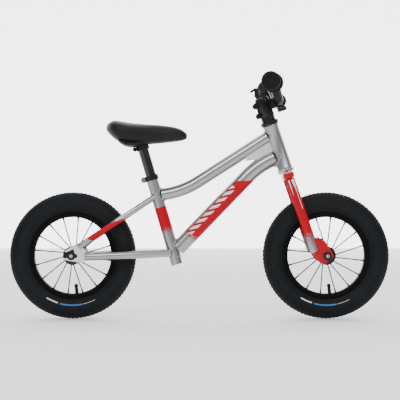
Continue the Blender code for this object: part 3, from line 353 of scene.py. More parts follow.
@dataclass(frozen=True)
class FrameFinish:
    """Polished aluminium under clear coat, with a red panel that follows the tube."""

    graphic: Graphic
    start: float = 0.0
    end: float = 1.0
    tone: float = 0.36

    def build(self) -> bpy.types.Material:
        """Make the material."""
        shade = Shader("frame_" + self.graphic.value, 0.2, 1.0, Coat_Weight=0.06,
                       Coat_Roughness=0.06, Specular_IOR_Level=0.12)
        length, turn = shade.along()
        cloud = shade.noise(30.0, 3.0)
        brushed = shade.noise(240.0, 3.0, stretch=(1.0, 9.0, 1.0))
        metal = shade.mix(cloud, grey(self.tone * 0.93, 0.03), grey(self.tone * 1.06, 0.03))
        grit = shade.noise(520.0, 1.0)
        red, pale = self.panel(length, turn, grit)
        paint = shade.mix(cloud, DEEP_RED, RED)
        colour = shade.mix(red, metal, paint)
        shade.put("Base Color", shade.mix(pale, colour, PALE))
        painted = red.most(pale)
        shade.put("Metallic", 1 - 0.92 * painted)
        shade.put("Roughness", 0.30 + 0.12 * (brushed - 0.5) + 0.08 * painted)
        shade.bump(brushed * 0.3 + painted * 0.7, 0.00004, 0.5)
        return shade.material

    def panel(self, length: Sock, turn: Sock, grit: Sock) -> tuple[Sock, Sock]:
        """The red and the pale masks.

        Args:
            length: Metres along the tube.
            turn: Turns round the tube, from its underside.
            grit: Noise that breaks up a faded end.

        Returns:
            The mask of the red paint and of the pale marks on it.
        """
        low, high = self.start, self.end
        side = (turn - 0.5).size()
        if self.graphic is Graphic.SEAT_TUBE:
            fade = length + 0.060 * (grit - 0.5)
            return length.above(low, 0.0006) * fade.below(high, 0.0012), side * 0
        if self.graphic is Graphic.DOWN_TUBE:
            slant = length + 0.112 * (0.5 - side)
            fade = length - 0.050 * (grit - 0.4)
            body = fade.above(low, 0.0012) * slant.below(high, 0.0006) * side.above(0.132, 0.003)
            bars = (length * 44.0 - side * 8.0).fraction()
            cut = bars.between(0.12, 0.66, 0.06) * side.between(0.144, 0.250, 0.005)
            cut = cut * length.between(low + 0.006, high - 0.054, 0.001)
            edge = side.between(0.050, 0.098, 0.006) * length.between(low, low + 0.128, 0.001)
            return body.most(edge), cut * body
        if self.graphic is Graphic.SEAT_STAY:
            begin = (length - 0.032 * side).above(low, 0.0008)
            return begin * (length - 0.134 * side).below(high, 0.0008), side * 0
        if self.graphic is Graphic.FORK_LEG:
            body = (length - 0.100 * (grit - 0.32)).above(low, 0.0012)
            down = high - length
            narrow = 0.025 * (1 - down / 0.044)
            first = (turn - 0.185).size().below(narrow, 0.004)
            broad = (0.066 * (1 - down / 0.040)).most(0.009)
            second = (turn - 0.333).size().below(broad, 0.004) * down.below(0.078, 0.002)
            return body, first.most(second) * down.above(0.004, 0.001) * body
        return side.above(2.0), side * 0


# ------------------------------------------------------------------ mesh tools


def finish_mesh(name: str, bm: bmesh.types.BMesh, merge: float = 0.000001) -> bpy.types.Mesh:
    """Weld, face outwards and shade a bmesh.

    Args:
        name: The mesh's name.
        bm: The bmesh, which is freed.
        merge: Distance under which points are welded.

    Returns:
        The mesh.
    """
    bmesh.ops.remove_doubles(bm, verts=bm.verts, dist=merge)
    bmesh.ops.recalc_face_normals(bm, faces=bm.faces)
    mesh = bpy.data.meshes.new(name)
    bm.to_mesh(mesh)
    bm.free()
    mesh.shade_smooth()
    mesh.set_sharp_from_angle(angle=CREASE)
    return mesh


def add_piece(name: str, mesh: bpy.types.Mesh, material: bpy.types.Material | None = None,
              matrix: Matrix | None = None) -> bpy.types.Object:
    """Link a mesh as an object whose place is in its points."""
    if matrix is not None:
        mesh.transform(matrix)
    piece = bpy.data.objects.new(name, mesh)
    bpy.context.scene.collection.objects.link(piece)
    if material is not None:
        mesh.materials.clear()
        mesh.materials.append(material)
    return piece


def baked(piece: bpy.types.Object) -> bpy.types.Mesh:
    """A new mesh of a piece with its modifiers carried out."""
    evaluated = piece.evaluated_get(bpy.context.evaluated_depsgraph_get())
    return bpy.data.meshes.new_from_object(evaluated)


def gathered(name: str, meshes: Sequence[bpy.types.Mesh]) -> bpy.types.Mesh:
    """Several meshes in one new mesh."""
    bm = bmesh.new()
    for mesh in meshes:
        bm.from_mesh(mesh)
    whole = bpy.data.meshes.new(name)
    bm.to_mesh(whole)
    bm.free()
    return whole


def settle(piece: bpy.types.Object, body: Body, slot: Slot, *nodes: str) -> bpy.types.Object:
    """Ride a finished piece on its body, standing for some CAD nodes.

    Args:
        piece: The finished piece.
        body: The body it moves with.
        slot: Not used.
        *nodes: The CAD nodes it replaces.

    Returns:
        The piece.
    """
    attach(piece, body.value)
    if nodes:
        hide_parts(*nodes)
    LOG.info("%s on %s", piece.name, body.value)
    return piece


def skin(rings: Sequence[Sequence[Vector]],
         lengths: Sequence[float] | None = None) -> bmesh.types.BMesh:
    """Join rings of points into a capped surface with a UV map of length and turn.

    Args:
        rings: Rings of equal size along the piece.
        lengths: Metres along the piece of each ring.

    Returns:
        The bmesh.
    """
    bm = bmesh.new()
    layer = bm.loops.layers.uv.new("surface")
    rows = [[bm.verts.new(p) for p in ring] for ring in rings]
    count = len(rings[0])
    spans = lengths or [float(i) for i in range(len(rings))]
    for i, (row, after) in enumerate(zip(rows, rows[1:])):
        for j in range(count):
            k = (j + 1) % count
            face = bm.faces.new((row[j], row[k], after[k], after[j]))
            marks = ((i, j), (i, j + 1), (i + 1, j + 1), (i + 1, j))
            for loop, (station, column) in zip(face.loops, marks):
                loop[layer].uv = (spans[station], column / count)
    bm.faces.new(list(reversed(rows[0])))
    bm.faces.new(rows[-1])
    return bm


def turned(profile: Sequence[Point], steps: int = 64, closed: bool = True) -> bmesh.types.BMesh:
    """Turn a profile of (radius, height) about Z.

    Args:
        profile: Its points.
        steps: Faces round the axis.
        closed: True if the profile is a loop clear of the axis.

    Returns:
        The bmesh, with UVs of profile length and turn.
    """
    rings = []
    for step in range(steps):
        angle = TAU * step / steps
        c, s = math.cos(angle), math.sin(angle)
        rings.append([Vector((r * c, r * s, h)) for r, h in profile])
    bm = bmesh.new()
    layer = bm.loops.layers.uv.new("surface")
    rows = [[bm.verts.new(p) for p in ring] for ring in rings]
    points = len(profile)
    run = [0.0]
    for i in range(points):
        first, second = profile[i], profile[(i + 1) % points]
        run.append(run[-1] + math.dist(first, second))
    for i in range(steps):
        after = (i + 1) % steps
        for j in range(points if closed else points - 1):
            k = (j + 1) % points
            face = bm.faces.new((rows[i][j], rows[after][j], rows[after][k], rows[i][k]))
            marks = ((j, i), (j, i + 1), (j + 1, i + 1), (j + 1, i))
            for loop, (along, round_) in zip(face.loops, marks):
                loop[layer].uv = (run[along], round_ / steps)
    return bm


def rounded(profile: Sequence[Point], radius: float = 0.0006, steps: int = 3) -> list[Point]:
    """A closed outline with its corners rounded.

    Args:
        profile: The outline's corners.
        radius: How far from each corner the round starts, at most.
        steps: Points in each round, less one.

    Returns:
        The rounded outline.
    """
    points: list[Point] = []
    count = len(profile)
    for i in range(count):
        corner = Vector(profile[i])
        before, after = Vector(profile[i - 1]) - corner, Vector(profile[(i + 1) % count]) - corner
        reach = min(radius, before.length * 0.45, after.length * 0.45)
        start, end = corner + before.normalized() * reach, corner + after.normalized() * reach
        for step in range(steps + 1):
            t = step / steps
            mixed = start * (1 - t) ** 2 + corner * 2 * t * (1 - t) + end * t * t
            points.append((mixed.x, mixed.y))
    return points


def ring_profile(inner: float, outer: float, low: float, high: float,
                 round_: float = 0.0006) -> list[Point]:
    """A rounded rectangle for a turned ring."""
    return rounded([(outer, high), (outer, low), (inner, low), (inner, high)], round_)


def rod_profile(radius: float, low: float, high: float, round_: float = 0.0006) -> list[Point]:
    """An open profile for a solid rod with rounded rims."""
    rim = rounded([(radius, high), (radius, low), (-radius, low), (-radius, high)], round_)
    return [(0.0, high)] + rim[:8] + [(0.0, low)]


def bent_path(corners: Sequence[Vector], bends: Sequence[float], steps: int = 14,
              spacing: float = 0.006) -> list[Vector]:
    """Points along straight runs joined by arcs, evenly close together.

    Args:
        corners: The ends and corners of the path.
        bends: The arc's radius at each inner corner.
        steps: Steps in each arc.
        spacing: Largest distance between points on a straight run.

    Returns:
        The points.
    """
    points = [corners[0].copy()]
    for index, bend in enumerate(bends, start=1):
        corner = corners[index]
        before = (corners[index - 1] - corner).normalized()
        after = (corners[index + 1] - corner).normalized()
        half = (math.pi - before.angle(after)) / 2
        reach = bend * math.tan(half)
        centre = corner + (before + after).normalized() * (bend / math.cos(half))
        start, end = corner + before * reach - centre, corner + after * reach - centre
        turn = start.angle(end)
        for step in range(steps + 1):
            share = step / steps
            weights = math.sin((1 - share) * turn), math.sin(share * turn)
            points.append(centre + (start * weights[0] + end * weights[1]) / math.sin(turn))
    points.append(corners[-1].copy())
    filled = [points[0]]
    for first, second in zip(points, points[1:]):
        pieces = max(1, math.ceil((second - first).length / spacing))
        filled += [first.lerp(second, i / pieces) for i in range(1, pieces + 1)]
    return filled


def sweep(path: Sequence[Vector], size: Callable[[float], tuple[float, float]], sides: int = 40,
          down: Vector = Vector((0.0, 0.0, -1.0))) -> bmesh.types.BMesh:
    """Carry an oval section along a path; turn 0 is at the section's underside.

    Args:
        path: Points along the centre line.
        size: Half sizes (in the bend's plane, sideways) at a share of the length.
        sides: Points round the section.
        down: Roughly the direction of turn 0.

    Returns:
        The bmesh.
    """
    lengths = [0.0]
    for first, second in zip(path, path[1:]):
        lengths.append(lengths[-1] + (second - first).length)
    rings = []
    count = len(path)
    for i, place in enumerate(path):
        tangent = (path[min(i + 1, count - 1)] - path[max(i - 1, 0)]).normalized()
        side = tangent.cross(down).normalized()
        under = side.cross(tangent).normalized()
        half_deep, half_wide = size(lengths[i] / lengths[-1])
        ring = []
        for j in range(sides):
            angle = TAU * j / sides
            ring.append(place + under * (half_deep * math.cos(angle))
                        + side * (half_wide * math.sin(angle)))
        rings.append(ring)
    return skin(rings, lengths)


def merge(*parts: bmesh.types.BMesh | tuple[bmesh.types.BMesh, Matrix]) -> bmesh.types.BMesh:
    """Several bmeshes in one, each placed by its matrix if it has one."""
    whole = bmesh.new()
    whole.loops.layers.uv.new("surface")
    for part in parts:
        bm, matrix = part if isinstance(part, tuple) else (part, Matrix.Identity(4))
        mesh = bpy.data.meshes.new("merge")
        bm.to_mesh(mesh)
        bm.free()
        mesh.transform(matrix)
        whole.from_mesh(mesh)
        bpy.data.meshes.remove(mesh)
    return whole


def fused(name: str, solids: Sequence[bpy.types.Mesh], cuts: Sequence[bpy.types.Mesh] = (),
          bevel: float = 0.0012) -> bpy.types.Mesh:
    """Union closed solids, cut others away and soften the edges.

    Args:
        name: The mesh's name.
        solids: Meshes to join.
        cuts: Meshes to take away.
        bevel: Width of the softened edges.

    Returns:
        The mesh.
    """
    base = add_piece(name, solids[0])
    helpers = []
    for mesh, operation in [(m, "UNION") for m in solids[1:]] + [(m, "DIFFERENCE") for m in cuts]:
        helper = add_piece(name + "_helper", mesh)
        modifier = base.modifiers.new("step", "BOOLEAN")
        modifier.object = helper
        modifier.operation = operation
        helpers.append(helper)
    soft = base.modifiers.new("soft", "BEVEL")
    soft.width = bevel
    soft.segments = 2
    soft.limit_method = "ANGLE"
    soft.angle_limit = math.radians(40)
    soft.use_clamp_overlap = True
    made = baked(base)
    for piece in [base] + helpers:
        bpy.data.objects.remove(piece, do_unlink=True)
    bm = bmesh.new()
    bm.from_mesh(made)
    return finish_mesh(name, bm, 0.000002)


def solid(bm: bmesh.types.BMesh, matrix: Matrix | None = None) -> bpy.types.Mesh:
    """A closed helper mesh, placed."""
    mesh = finish_mesh("solid", bm)
    if matrix is not None:
        mesh.transform(matrix)
    return mesh


def block(low: Sequence[float], high: Sequence[float]) -> bmesh.types.BMesh:
    """A box between two corners."""
    size, centre = Vector(high) - Vector(low), (Vector(high) + Vector(low)) / 2
    bm = bmesh.new()
    place = Matrix.Translation(centre) @ Matrix.Diagonal((*size, 1.0))
    bmesh.ops.create_cube(bm, size=1.0, matrix=place)
    return bm


def prism(sides: int, radius: float, low: float, high: float) -> bmesh.types.BMesh:
    """A prism about Z, such as a hexagon head."""
    bm = bmesh.new()
    place = Matrix.Translation((0.0, 0.0, (low + high) / 2))
    bmesh.ops.create_cone(bm, cap_ends=True, segments=sides, radius1=radius, radius2=radius,
                          depth=high - low, matrix=place)
    return bm


def centre_of(node: str) -> Vector:
    """The middle of a CAD node's box."""
    low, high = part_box(node)
    return (Vector(low) + Vector(high)) / 2


def axis_frame(joint: str) -> Matrix:
    """A frame on a joint's axis: X forwards, Y left, Z along the axis."""
    up = Vector(JOINTS[joint]["axis"]).normalized()
    left = Vector((0.0, 1.0, 0.0))
    forward = left.cross(up).normalized()
    turn = Matrix((forward, left, up)).transposed().to_4x4()
    return Matrix.Translation(Vector(JOINTS[joint].get("pos_m") or (0, 0, 0))) @ turn


def seat_frame() -> Matrix:
    """The seat axis's frame, from the seat tube's open lower end."""
    turn = axis_frame("seat_height")
    foot = centre_of("seat_tube") - turn.to_3x3() @ Vector((0.0, 0.0, SEAT_TUBE_LENGTH / 2))
    return Matrix.Translation(foot) @ turn


# ------------------------------------------------------------------ geometry nodes


class Repeat(Graph):
    """A Geometry Nodes tree that repeats a piece round an axis or along a path."""

    def __init__(self, name: str, inputs: dict[str, tuple[str, Any]]) -> None:
        """Make the tree with its named inputs.

        Args:
            name: The tree's name.
            inputs: Socket type and default of each input after the geometry.
        """
        tree = bpy.data.node_groups.new(name, "GeometryNodeTree")
        super().__init__(tree)
        face = tree.interface
        face.new_socket("Geometry", in_out="INPUT", socket_type="NodeSocketGeometry")
        self.ids: dict[str, str] = {}
        for label, (kind, default) in inputs.items():
            socket = face.new_socket(label, in_out="INPUT", socket_type=kind)
            if default is not None:
                socket.default_value = default
            self.ids[label] = socket.identifier
        face.new_socket("Geometry", in_out="OUTPUT", socket_type="NodeSocketGeometry")
        self.source = tree.nodes.new("NodeGroupInput")
        self.sink = tree.nodes.new("NodeGroupOutput")

    def given(self, label: str) -> Sock:
        """One of the tree's inputs."""
        return Sock(self, self.source.outputs[label])

    def close(self, instances: Sock) -> None:
        """End the tree: make the copies real and give them their material."""
        real = self.node("GeometryNodeRealizeInstances", {}, [instances])
        done = self.node("GeometryNodeSetMaterial", {}, {"Geometry": real,
                                                        "Material": self.given("Material")})
        self.feed(self.sink.inputs[0], done)

    def apply(self, piece: bpy.types.Object, values: dict[str, Any]) -> bpy.types.Mesh:
        """Run the tree on a piece and return the plain mesh; the piece is removed.

        Args:
            piece: The object whose mesh goes in.
            values: Values by input name.

        Returns:
            The finished mesh.
        """
        modifier = piece.modifiers.new("repeat", "NODES")
        modifier.node_group = self.tree
        for label, value in values.items():
            modifier[self.ids[label]] = value
        mesh = baked(piece)
        bpy.data.objects.remove(piece, do_unlink=True)
        return mesh


def round_tree() -> Repeat:
    """A tree that repeats a mesh round the Z axis."""
    tree = Repeat("repeat_round", {"Count": ("NodeSocketInt", 8), "Twist": ("NodeSocketFloat", 0.0),
                                   "Material": ("NodeSocketMaterial", None)})
    points = tree.node("GeometryNodePoints", {}, {"Count": tree.given("Count")})
    index = tree.node("GeometryNodeInputIndex", {})
    angle = index * TAU / tree.given("Count") + tree.given("Twist")
    turn = tree.node("ShaderNodeCombineXYZ", {}, {"Z": angle})
    copies = tree.node("GeometryNodeInstanceOnPoints", {}, {
        "Points": points, "Instance": tree.given("Geometry"), "Rotation": turn})
    tree.close(copies)
    return tree


def bead_tree() -> Repeat:
    """A tree that lays overlapping scales along a path, as a weld does."""
    tree = Repeat("weld_bead", {"Spacing": ("NodeSocketFloat", 0.0016),
                                "Radius": ("NodeSocketFloat", 0.0016),
                                "Material": ("NodeSocketMaterial", None)})
    curve = tree.node("GeometryNodeMeshToCurve", {}, {"Mesh": tree.given("Geometry")})
    even = tree.node("GeometryNodeResampleCurve", {"mode": "LENGTH"},
                     {"Curve": curve, "Length": tree.given("Spacing")})
    tangent = tree.node("GeometryNodeInputTangent", {})
    turn = tree.node("FunctionNodeAlignRotationToVector", {"axis": "Z"}, {"Vector": tangent})
    ball = tree.node("GeometryNodeMeshUVSphere", {}, {"Segments": 10, "Rings": 6,
                                                      "Radius": tree.given("Radius")})
    smooth = tree.node("GeometryNodeSetShadeSmooth", {}, {"Geometry": ball})
    copies = tree.node("GeometryNodeInstanceOnPoints", {}, {
        "Points": even, "Instance": smooth, "Rotation": turn, "Scale": (1.0, 1.0, 0.75)})
    tree.close(copies)
    return tree


ROUND = round_tree()
BEAD = bead_tree()


# ------------------------------------------------------------------ shared finishes

SILVER = Metal("brushed_silver", 0.50, 0.24, (1.0, 1.0, 8.0)).build()
RIM_BLACK = Coating("rim_black", 0.003, 0.50, 1300.0, 0.00001, 0.06, 0.0).build()
# A lighter silver than the tubes'. On the gusset plates, which sit in shade between the tubes, its
# extra brightness is painted light.
PALE_SILVER_WITH_PAINTED_LIGHT = Metal("pale_silver_with_painted_light", 0.80, 0.42).build()
STEEL = Metal("plated_steel", 0.42, 0.24).build()
BOLT_METAL = Metal("bolt_steel", 0.34, 0.26).build()
SPOKE_METAL = Metal("spoke_steel", 0.020, 0.40).build()
BLACK_METAL = Coating("anodised_black", 0.008, 0.28, 1900.0, 0.000015, 0.22, 0.10).build()
GLOSS_BLACK = Coating("gloss_black", 0.005, 0.40, 900.0, 0.00001, 0.2, 0.08).build()
PLASTIC = Coating("moulded_black", 0.008, 0.46, 1400.0, 0.00004, 0.2).build()
GRIP = Coating("grip_rubber", 0.006, 0.60, 1100.0, 0.00005, 0.14).build()


@dataclass(frozen=True)
class TyreFinish:
    """Dusty black rubber with generic marks moulded and printed on both walls."""

    centre: tuple[float, float]
    marks: tuple[tuple[float, float, float, float], ...] = (
        (-121.3, -107.2, 0.1168, 0.1197), (-104.6, -78.3, 0.1172, 0.1206),
        (-77.5, -62.7, 0.1184, 0.1192))

    def build(self) -> bpy.types.Material:
        """Make the material."""
        shade = Shader("tyre_rubber", 0.62, 0.0, Specular_IOR_Level=0.13)
        place = shade.node("ShaderNodeSeparateXYZ", {}, [shade.place()])
        across = place - self.centre[0]
        up = Sock(shade, place.out.node.outputs[2]) - self.centre[1]
        radius = shade.node("ShaderNodeMath", {"operation": "POWER"},
                            [across * across + up * up, 0.5])
        angle = shade.node("ShaderNodeMath", {"operation": "ARCTAN2"}, [up, across])
        cloud = shade.noise(26.0, 4.0)
        fine = shade.noise(1300.0, 2.0)
        colour = shade.mix(cloud, grey(0.0045, 0.45), grey(0.0085, 0.45))
        dust = radius.above(0.145, 0.008) * cloud.above(0.45, 0.4)
        colour = shade.mix(0.25 * dust, colour, grey(0.030, 0.05))
        blue = (0.05, 0.22, 0.62, 1.0)
        for index, (first, last, inner, outer) in enumerate(self.marks):
            span = angle.between(math.radians(first), math.radians(last), 0.004)
            mask = span * radius.between(inner, outer, 0.0003)
            if index == 1:
                mask = mask * (angle * 62.0).fraction().above(0.22, 0.05)
            tint = blue if index == 1 else grey(0.72)
            colour = shade.mix(mask * 0.92, colour, tint)
        shade.put("Base Color", colour)
        shade.put("Roughness", 0.58 + 0.16 * (cloud - 0.5) + 0.12 * dust)
        rings = (radius * 620.0).sine() * radius.between(0.1085, 0.1125, 0.0006)
        ribs = (angle * 150.0).sine() * radius.between(0.1235, 0.1300, 0.0008)
        shade.bump(fine * 0.3 + rings * 0.35 + ribs * 0.35, 0.00025, 0.7)
        return shade.material


@dataclass(frozen=True)
class SaddleFinish:
    """Soft synthetic leather with a fine grain and a darker panel along the middle."""

    tone: float = 0.009

    def build(self) -> bpy.types.Material:
        """Make the material."""
        shade = Shader("saddle_cover", 0.5, 0.0, Specular_IOR_Level=0.16, Sheen_Weight=0.03)
        grain = shade.node("ShaderNodeTexVoronoi", {"feature": "DISTANCE_TO_EDGE"},
                           {"Vector": shade.place(), "Scale": 700.0}, "Distance")
        cloud = shade.noise(34.0, 4.0)
        place = shade.node("ShaderNodeSeparateXYZ", {}, [shade.place()])
        side = Sock(shade, place.out.node.outputs[1]).size()
        colour = shade.mix(cloud, grey(self.tone * 0.75, 0.12), grey(self.tone * 1.25, 0.12))
        middle = side.below(0.011, 0.003)
        shade.put("Base Color", shade.mix(0.4 * middle, colour, grey(0.004, 0.1)))
        shade.put("Roughness", 0.47 + 0.18 * (cloud - 0.5) + 0.08 * middle)
        shade.bump(grain.above(0.12, 0.2), 0.00007, 0.55)
        return shade.material


@dataclass(frozen=True)
class RedPaint:
    """Glossy red paint over metal."""

    name: str = "red_paint"

    def build(self) -> bpy.types.Material:
        """Make the material."""
        shade = Shader(self.name, 0.30, 0.1, Coat_Weight=0.12, Coat_Roughness=0.06,
                       Specular_IOR_Level=0.2)
        cloud = shade.noise(40.0, 3.0)
        peel = shade.noise(420.0, 2.0)
        shade.put("Base Color", shade.mix(cloud, DEEP_RED, RED))
        shade.put("Roughness", 0.26 + 0.10 * (peel - 0.5))
        shade.bump(peel, 0.00004, 0.4)
        return shade.material


SADDLE_SKIN = SaddleFinish().build()
RED_PAINT = RedPaint().build()


# ------------------------------------------------------------------ sub-assemblies


@dataclass
class Assembly:
    """A group of pieces: build makes them, dress paints the CAD nodes carried over."""

    body: Body

    def build(self) -> None:
        """Make and settle the visible pieces."""
        raise NotImplementedError

    def paint(self, finishes: dict[str, bpy.types.Material]) -> None:
        """Give carried-over CAD nodes their material.

        Args:
            finishes: The material for each node's name.
        """
        for name, material in finishes.items():
            mesh = frame["nodes"][name].data
            mesh.materials.clear()
            mesh.materials.append(material)

    def dress(self) -> None:
        """Paint the CAD nodes that stay in sight."""

    def fit(self, name: str, mesh: bpy.types.Mesh, material: bpy.types.Material, slot: Slot,
            matrix: Matrix | None = None, *nodes: str) -> bpy.types.Object:
        """Add a finished piece and settle it on this assembly's body.

        Args:
            name: The piece's name.
            mesh: Its mesh.
            material: Its finish.
            slot: Not used; passed on to settle, which ignores it.
            matrix: Where the mesh goes, or None if it is in place.
            *nodes: The CAD nodes it replaces.

        Returns:
            The piece.
        """
        return settle(add_piece(name, mesh, material, matrix), self.body, slot, *nodes)

    def lathe(self, name: str, profile: Sequence[Point], material: bpy.types.Material,
              slot: Slot, matrix: Matrix, *nodes: str, steps: int = 64,
              closed: bool = True) -> bpy.types.Object:
        """Turn a profile and fit it as a piece; the arguments are those of fit and turned."""
        mesh = finish_mesh(name, turned(profile, steps, closed))
        return self.fit(name, mesh, material, slot, matrix, *nodes)


@dataclass
class Wheel(Assembly):
    """One wheel with its tyre, rim, hub, spokes, nipples and valve."""

    end: str
    half_width: float = 0.025

    def place(self) -> Matrix:
        """A frame at the wheel's middle whose Z is the axle, towards the left."""
        return Matrix.Translation(centre_of(self.end + "_tyre")) @ TO_AXLE

    def build(self) -> None:
        """Make the wheel's pieces."""
        middle = centre_of(self.end + "_tyre")
        self.rubber = TyreFinish((middle.x, middle.z)).build()
        self.build_tyre()
        self.build_rim()
        self.build_hub()

    def tyre_profile(self) -> list[Point]:
        """The tyre's outline: tread, shoulders, walls and beads, then the inside."""
        middle, tall = TYRE_MIDDLE, TYRE_TALL
        outer = []
        for step in range(-22, 23):
            angle = math.radians(step * 5.55)
            wide = (self.half_width - 0.0008) * math.sin(angle)
            high = middle + tall * math.cos(angle)
            outer.append((high, wide))
        bead = [(0.1085, 0.0150), (0.1070, 0.0146), (0.1062, 0.0132), (0.1030, 0.0112),
                (0.1018, 0.0105)]
        inner = []
        for step in range(10, -11, -1):
            angle = math.radians(step * 12.2)
            wide = (self.half_width - 0.0040) * math.sin(angle)
            inner.append((middle + (tall - 0.0035) * math.cos(angle), wide))
        inside = [(0.1020, 0.0085)] + inner + [(0.1020, -0.0085)]
        other = [(r, -w) for r, w in reversed(bead)]
        return other + outer + bead + inside

    def build_tyre(self) -> None:
        """Make the carcass and its tread blocks."""
        carcass = finish_mesh("tyre", merge(turned(self.tyre_profile(), 160)), 0.00001)
        parts = []
        count = 96
        for side in (-1, 1):
            for angle, wide, long, tall, shift in (
                    (7.0, 0.0042, 0.0068, 0.0009, 0.0), (25.0, 0.0046, 0.0062, 0.0011, 0.5),
                    (43.0, 0.0044, 0.0060, 0.0012, 0.0), (60.0, 0.0038, 0.0040, 0.0011, 0.5),
                    (74.0, 0.0030, 0.0036, 0.0009, 0.0)):
                knob = finish_mesh("knob", self.knob(side * angle, wide, long, tall), 0.0)
                seed = add_piece("knob", knob, self.rubber)
                parts.append(ROUND.apply(seed, {"Count": count, "Twist": TAU / count * shift,
                                                "Material": self.rubber}))
        whole = gathered(self.end + "_tyre_body", parts + [carcass])
        whole.shade_smooth()
        whole.set_sharp_from_angle(angle=CREASE)
        self.fit(self.end + "_tyre_tread", whole, self.rubber, Slot.TYRE, self.place(),
                 self.end + "_tyre")

    def knob(self, angle: float, wide: float, long: float, tall: float) -> bmesh.types.BMesh:
        """One tread block with sloping sides.

        Args:
            angle: Where it sits round the tyre's section, in degrees from the crown.
            wide: Its width across the tread.
            long: Its length round the wheel.
            tall: Its height.

        Returns:
            The block.
        """
        turn = math.radians(angle)
        centre = Vector((TYRE_MIDDLE + TYRE_TALL * math.cos(turn), 0.0,
                         (self.half_width - 0.0008) * math.sin(turn)))
        out = Vector((math.cos(turn) / TYRE_TALL, 0.0,
                      math.sin(turn) / self.half_width)).normalized()
        side = Vector((-out.z, 0.0, out.x))
        bm = bmesh.new()
        rows = []
        for level, size in ((-0.0008, 1.12), (tall - 0.0005, 1.0), (tall, 0.82)):
            ring = []
            for u, v in ((-1, -1), (-1, 1), (1, 1), (1, -1)):
                ring.append(bm.verts.new(centre + out * level + side * (u * wide / 2 * size)
                                         + Vector((0.0, v * long / 2 * size, 0.0))))
            rows.append(ring)
        for first, second in zip(rows, rows[1:]):
            for j in range(4):
                bm.faces.new((first[j], first[(j + 1) % 4], second[(j + 1) % 4], second[j]))
        bm.faces.new(rows[-1])
        bm.faces.new(list(reversed(rows[0])))
        return bm

    def build_rim(self) -> None:
        """Make the rim, its machined flanges and the valve."""
        outline = [(0.1070, 0.0128), (0.1070, 0.0112), (0.1016, 0.0104), (0.1008, 0.0060),
                   (0.0985, 0.0030), (0.0985, -0.0030), (0.1008, -0.0060), (0.1016, -0.0104),
                   (0.1070, -0.0112), (0.1070, -0.0128), (0.1040, -0.0130), (0.0960, -0.0128),
                   (0.0930, -0.0112), (0.0922, -0.0080), (0.0922, 0.0), (0.0922, 0.0080),
                   (0.0930, 0.0112), (0.0960, 0.0128), (0.1040, 0.0130)]
        self.lathe(self.end + "_rim_hoop", rounded(outline, 0.0009, 3), RIM_BLACK,
                   Slot.BLACK_METAL, self.place(), self.end + "_rim", steps=144)
        out = Vector((math.cos(VALVE_ANGLE), 0.0, -math.sin(VALVE_ANGLE)))
        foot = centre_of(self.end + "_tyre") + out * 0.0692
        place = Matrix.Translation(foot) @ out.to_track_quat("Z", "Y").to_matrix().to_4x4()
        stem = [(0.0, 0.0), (0.0036, 0.0002), (0.0045, 0.0012), (0.0045, 0.0085), (0.0036, 0.0090),
                (0.0036, 0.0100), (0.0041, 0.0106), (0.0043, 0.0140), (0.0043, 0.0215),
                (0.0048, 0.0224), (0.0048, 0.0250), (0.0, 0.0250)]
        self.lathe(self.end + "_valve_stem", stem, GRIP, Slot.GRIP, place, self.end + "_valve",
                   steps=32, closed=False)

    def build_hub(self) -> None:
        """Make the hub shell, spokes and nipples."""
        place = self.place()
        shell = [(0.0050, -0.0400), (0.0100, -0.0400), (0.0112, -0.0392), (0.0115, -0.0300),
                 (0.0130, -0.0268), (0.0150, -0.0256), (0.0219, -0.0255), (0.0225, -0.0250),
                 (0.0225, -0.0230), (0.0219, -0.0225), (0.0150, -0.0222), (0.0125, -0.0205),
                 (0.0112, -0.0170), (0.0108, 0.0)]
        outline = shell + [(r, -h) for r, h in reversed(shell[:-1])]
        hub = merge(turned(outline, 64))
        for side in (-1, 1):
            dust = turned(ring_profile(0.0085, 0.0098, -0.0006, 0.0008, 0.0003), 40)
            hub = merge(hub, (dust, Matrix.Translation((0.0, 0.0, side * 0.0400))))
        self.fit(self.end + "_hub_shell", finish_mesh("hub", hub, 0.0), BLACK_METAL,
                 Slot.BLACK_METAL, place)
        for name, shape, material, slot, nodes in (
                ("spokes", self.spoke, SPOKE_METAL, Slot.STEEL, (self.end + "_hub_spokes",)),
                ("nipples", self.nipple, BLACK_METAL, Slot.BLACK_METAL, ())):
            made = []
            for half, sign in enumerate((1, -1)):
                seed = add_piece(name + "_seed", finish_mesh(name, shape(sign), 0.0), material)
                twist = VALVE_ANGLE + TAU / SPOKES * (half + 0.5)
                made.append(ROUND.apply(seed, {"Count": SPOKES // 2, "Twist": twist,
                                               "Material": material}))
            mesh = gathered(name, made)
            mesh.shade_smooth()
            self.fit(f"{self.end}_{name}", mesh, material, slot, place, *nodes)

    def spoke_line(self, sign: int) -> tuple[Vector, Vector]:
        """Where a spoke leaves the hub flange and where it meets the rim."""
        return (Vector((0.0200, 0.0036, sign * 0.0240)), Vector((0.0945, 0.0036, sign * 0.0020)))

    def spoke(self, sign: int) -> bmesh.types.BMesh:
        """A spoke with its round head outside the flange."""
        start, end = self.spoke_line(sign)
        line = sweep([start, start.lerp(end, 0.5), end], lambda share: (0.0015, 0.0015), 10,
                     Vector((0.0, 1.0, 0.0)))
        head = bmesh.new()
        place = Matrix.Translation(start) @ Matrix.Diagonal((1.0, 1.0, 1.3, 1.0))
        bmesh.ops.create_uvsphere(head, u_segments=12, v_segments=8, radius=0.0019, matrix=place)
        return merge(line, head)

    def nipple(self, sign: int) -> bmesh.types.BMesh:
        """A stepped nipple seated in the rim."""
        start, end = self.spoke_line(sign)
        turn = (end - start).to_track_quat("Z", "Y").to_matrix().to_4x4()
        place = Matrix.Translation(end) @ turn
        body = [(0.0, -0.0125), (0.0012, -0.0125), (0.0019, -0.0115), (0.0020, -0.0040),
                (0.0025, -0.0030), (0.0026, 0.0010), (0.0, 0.0010)]
        return merge((turned(body, 12, False), place))

    def dress(self) -> None:
        """Paint the inner tube, which shows only at the valve hole."""
        self.paint({self.end + "_inner_tube": PLASTIC})


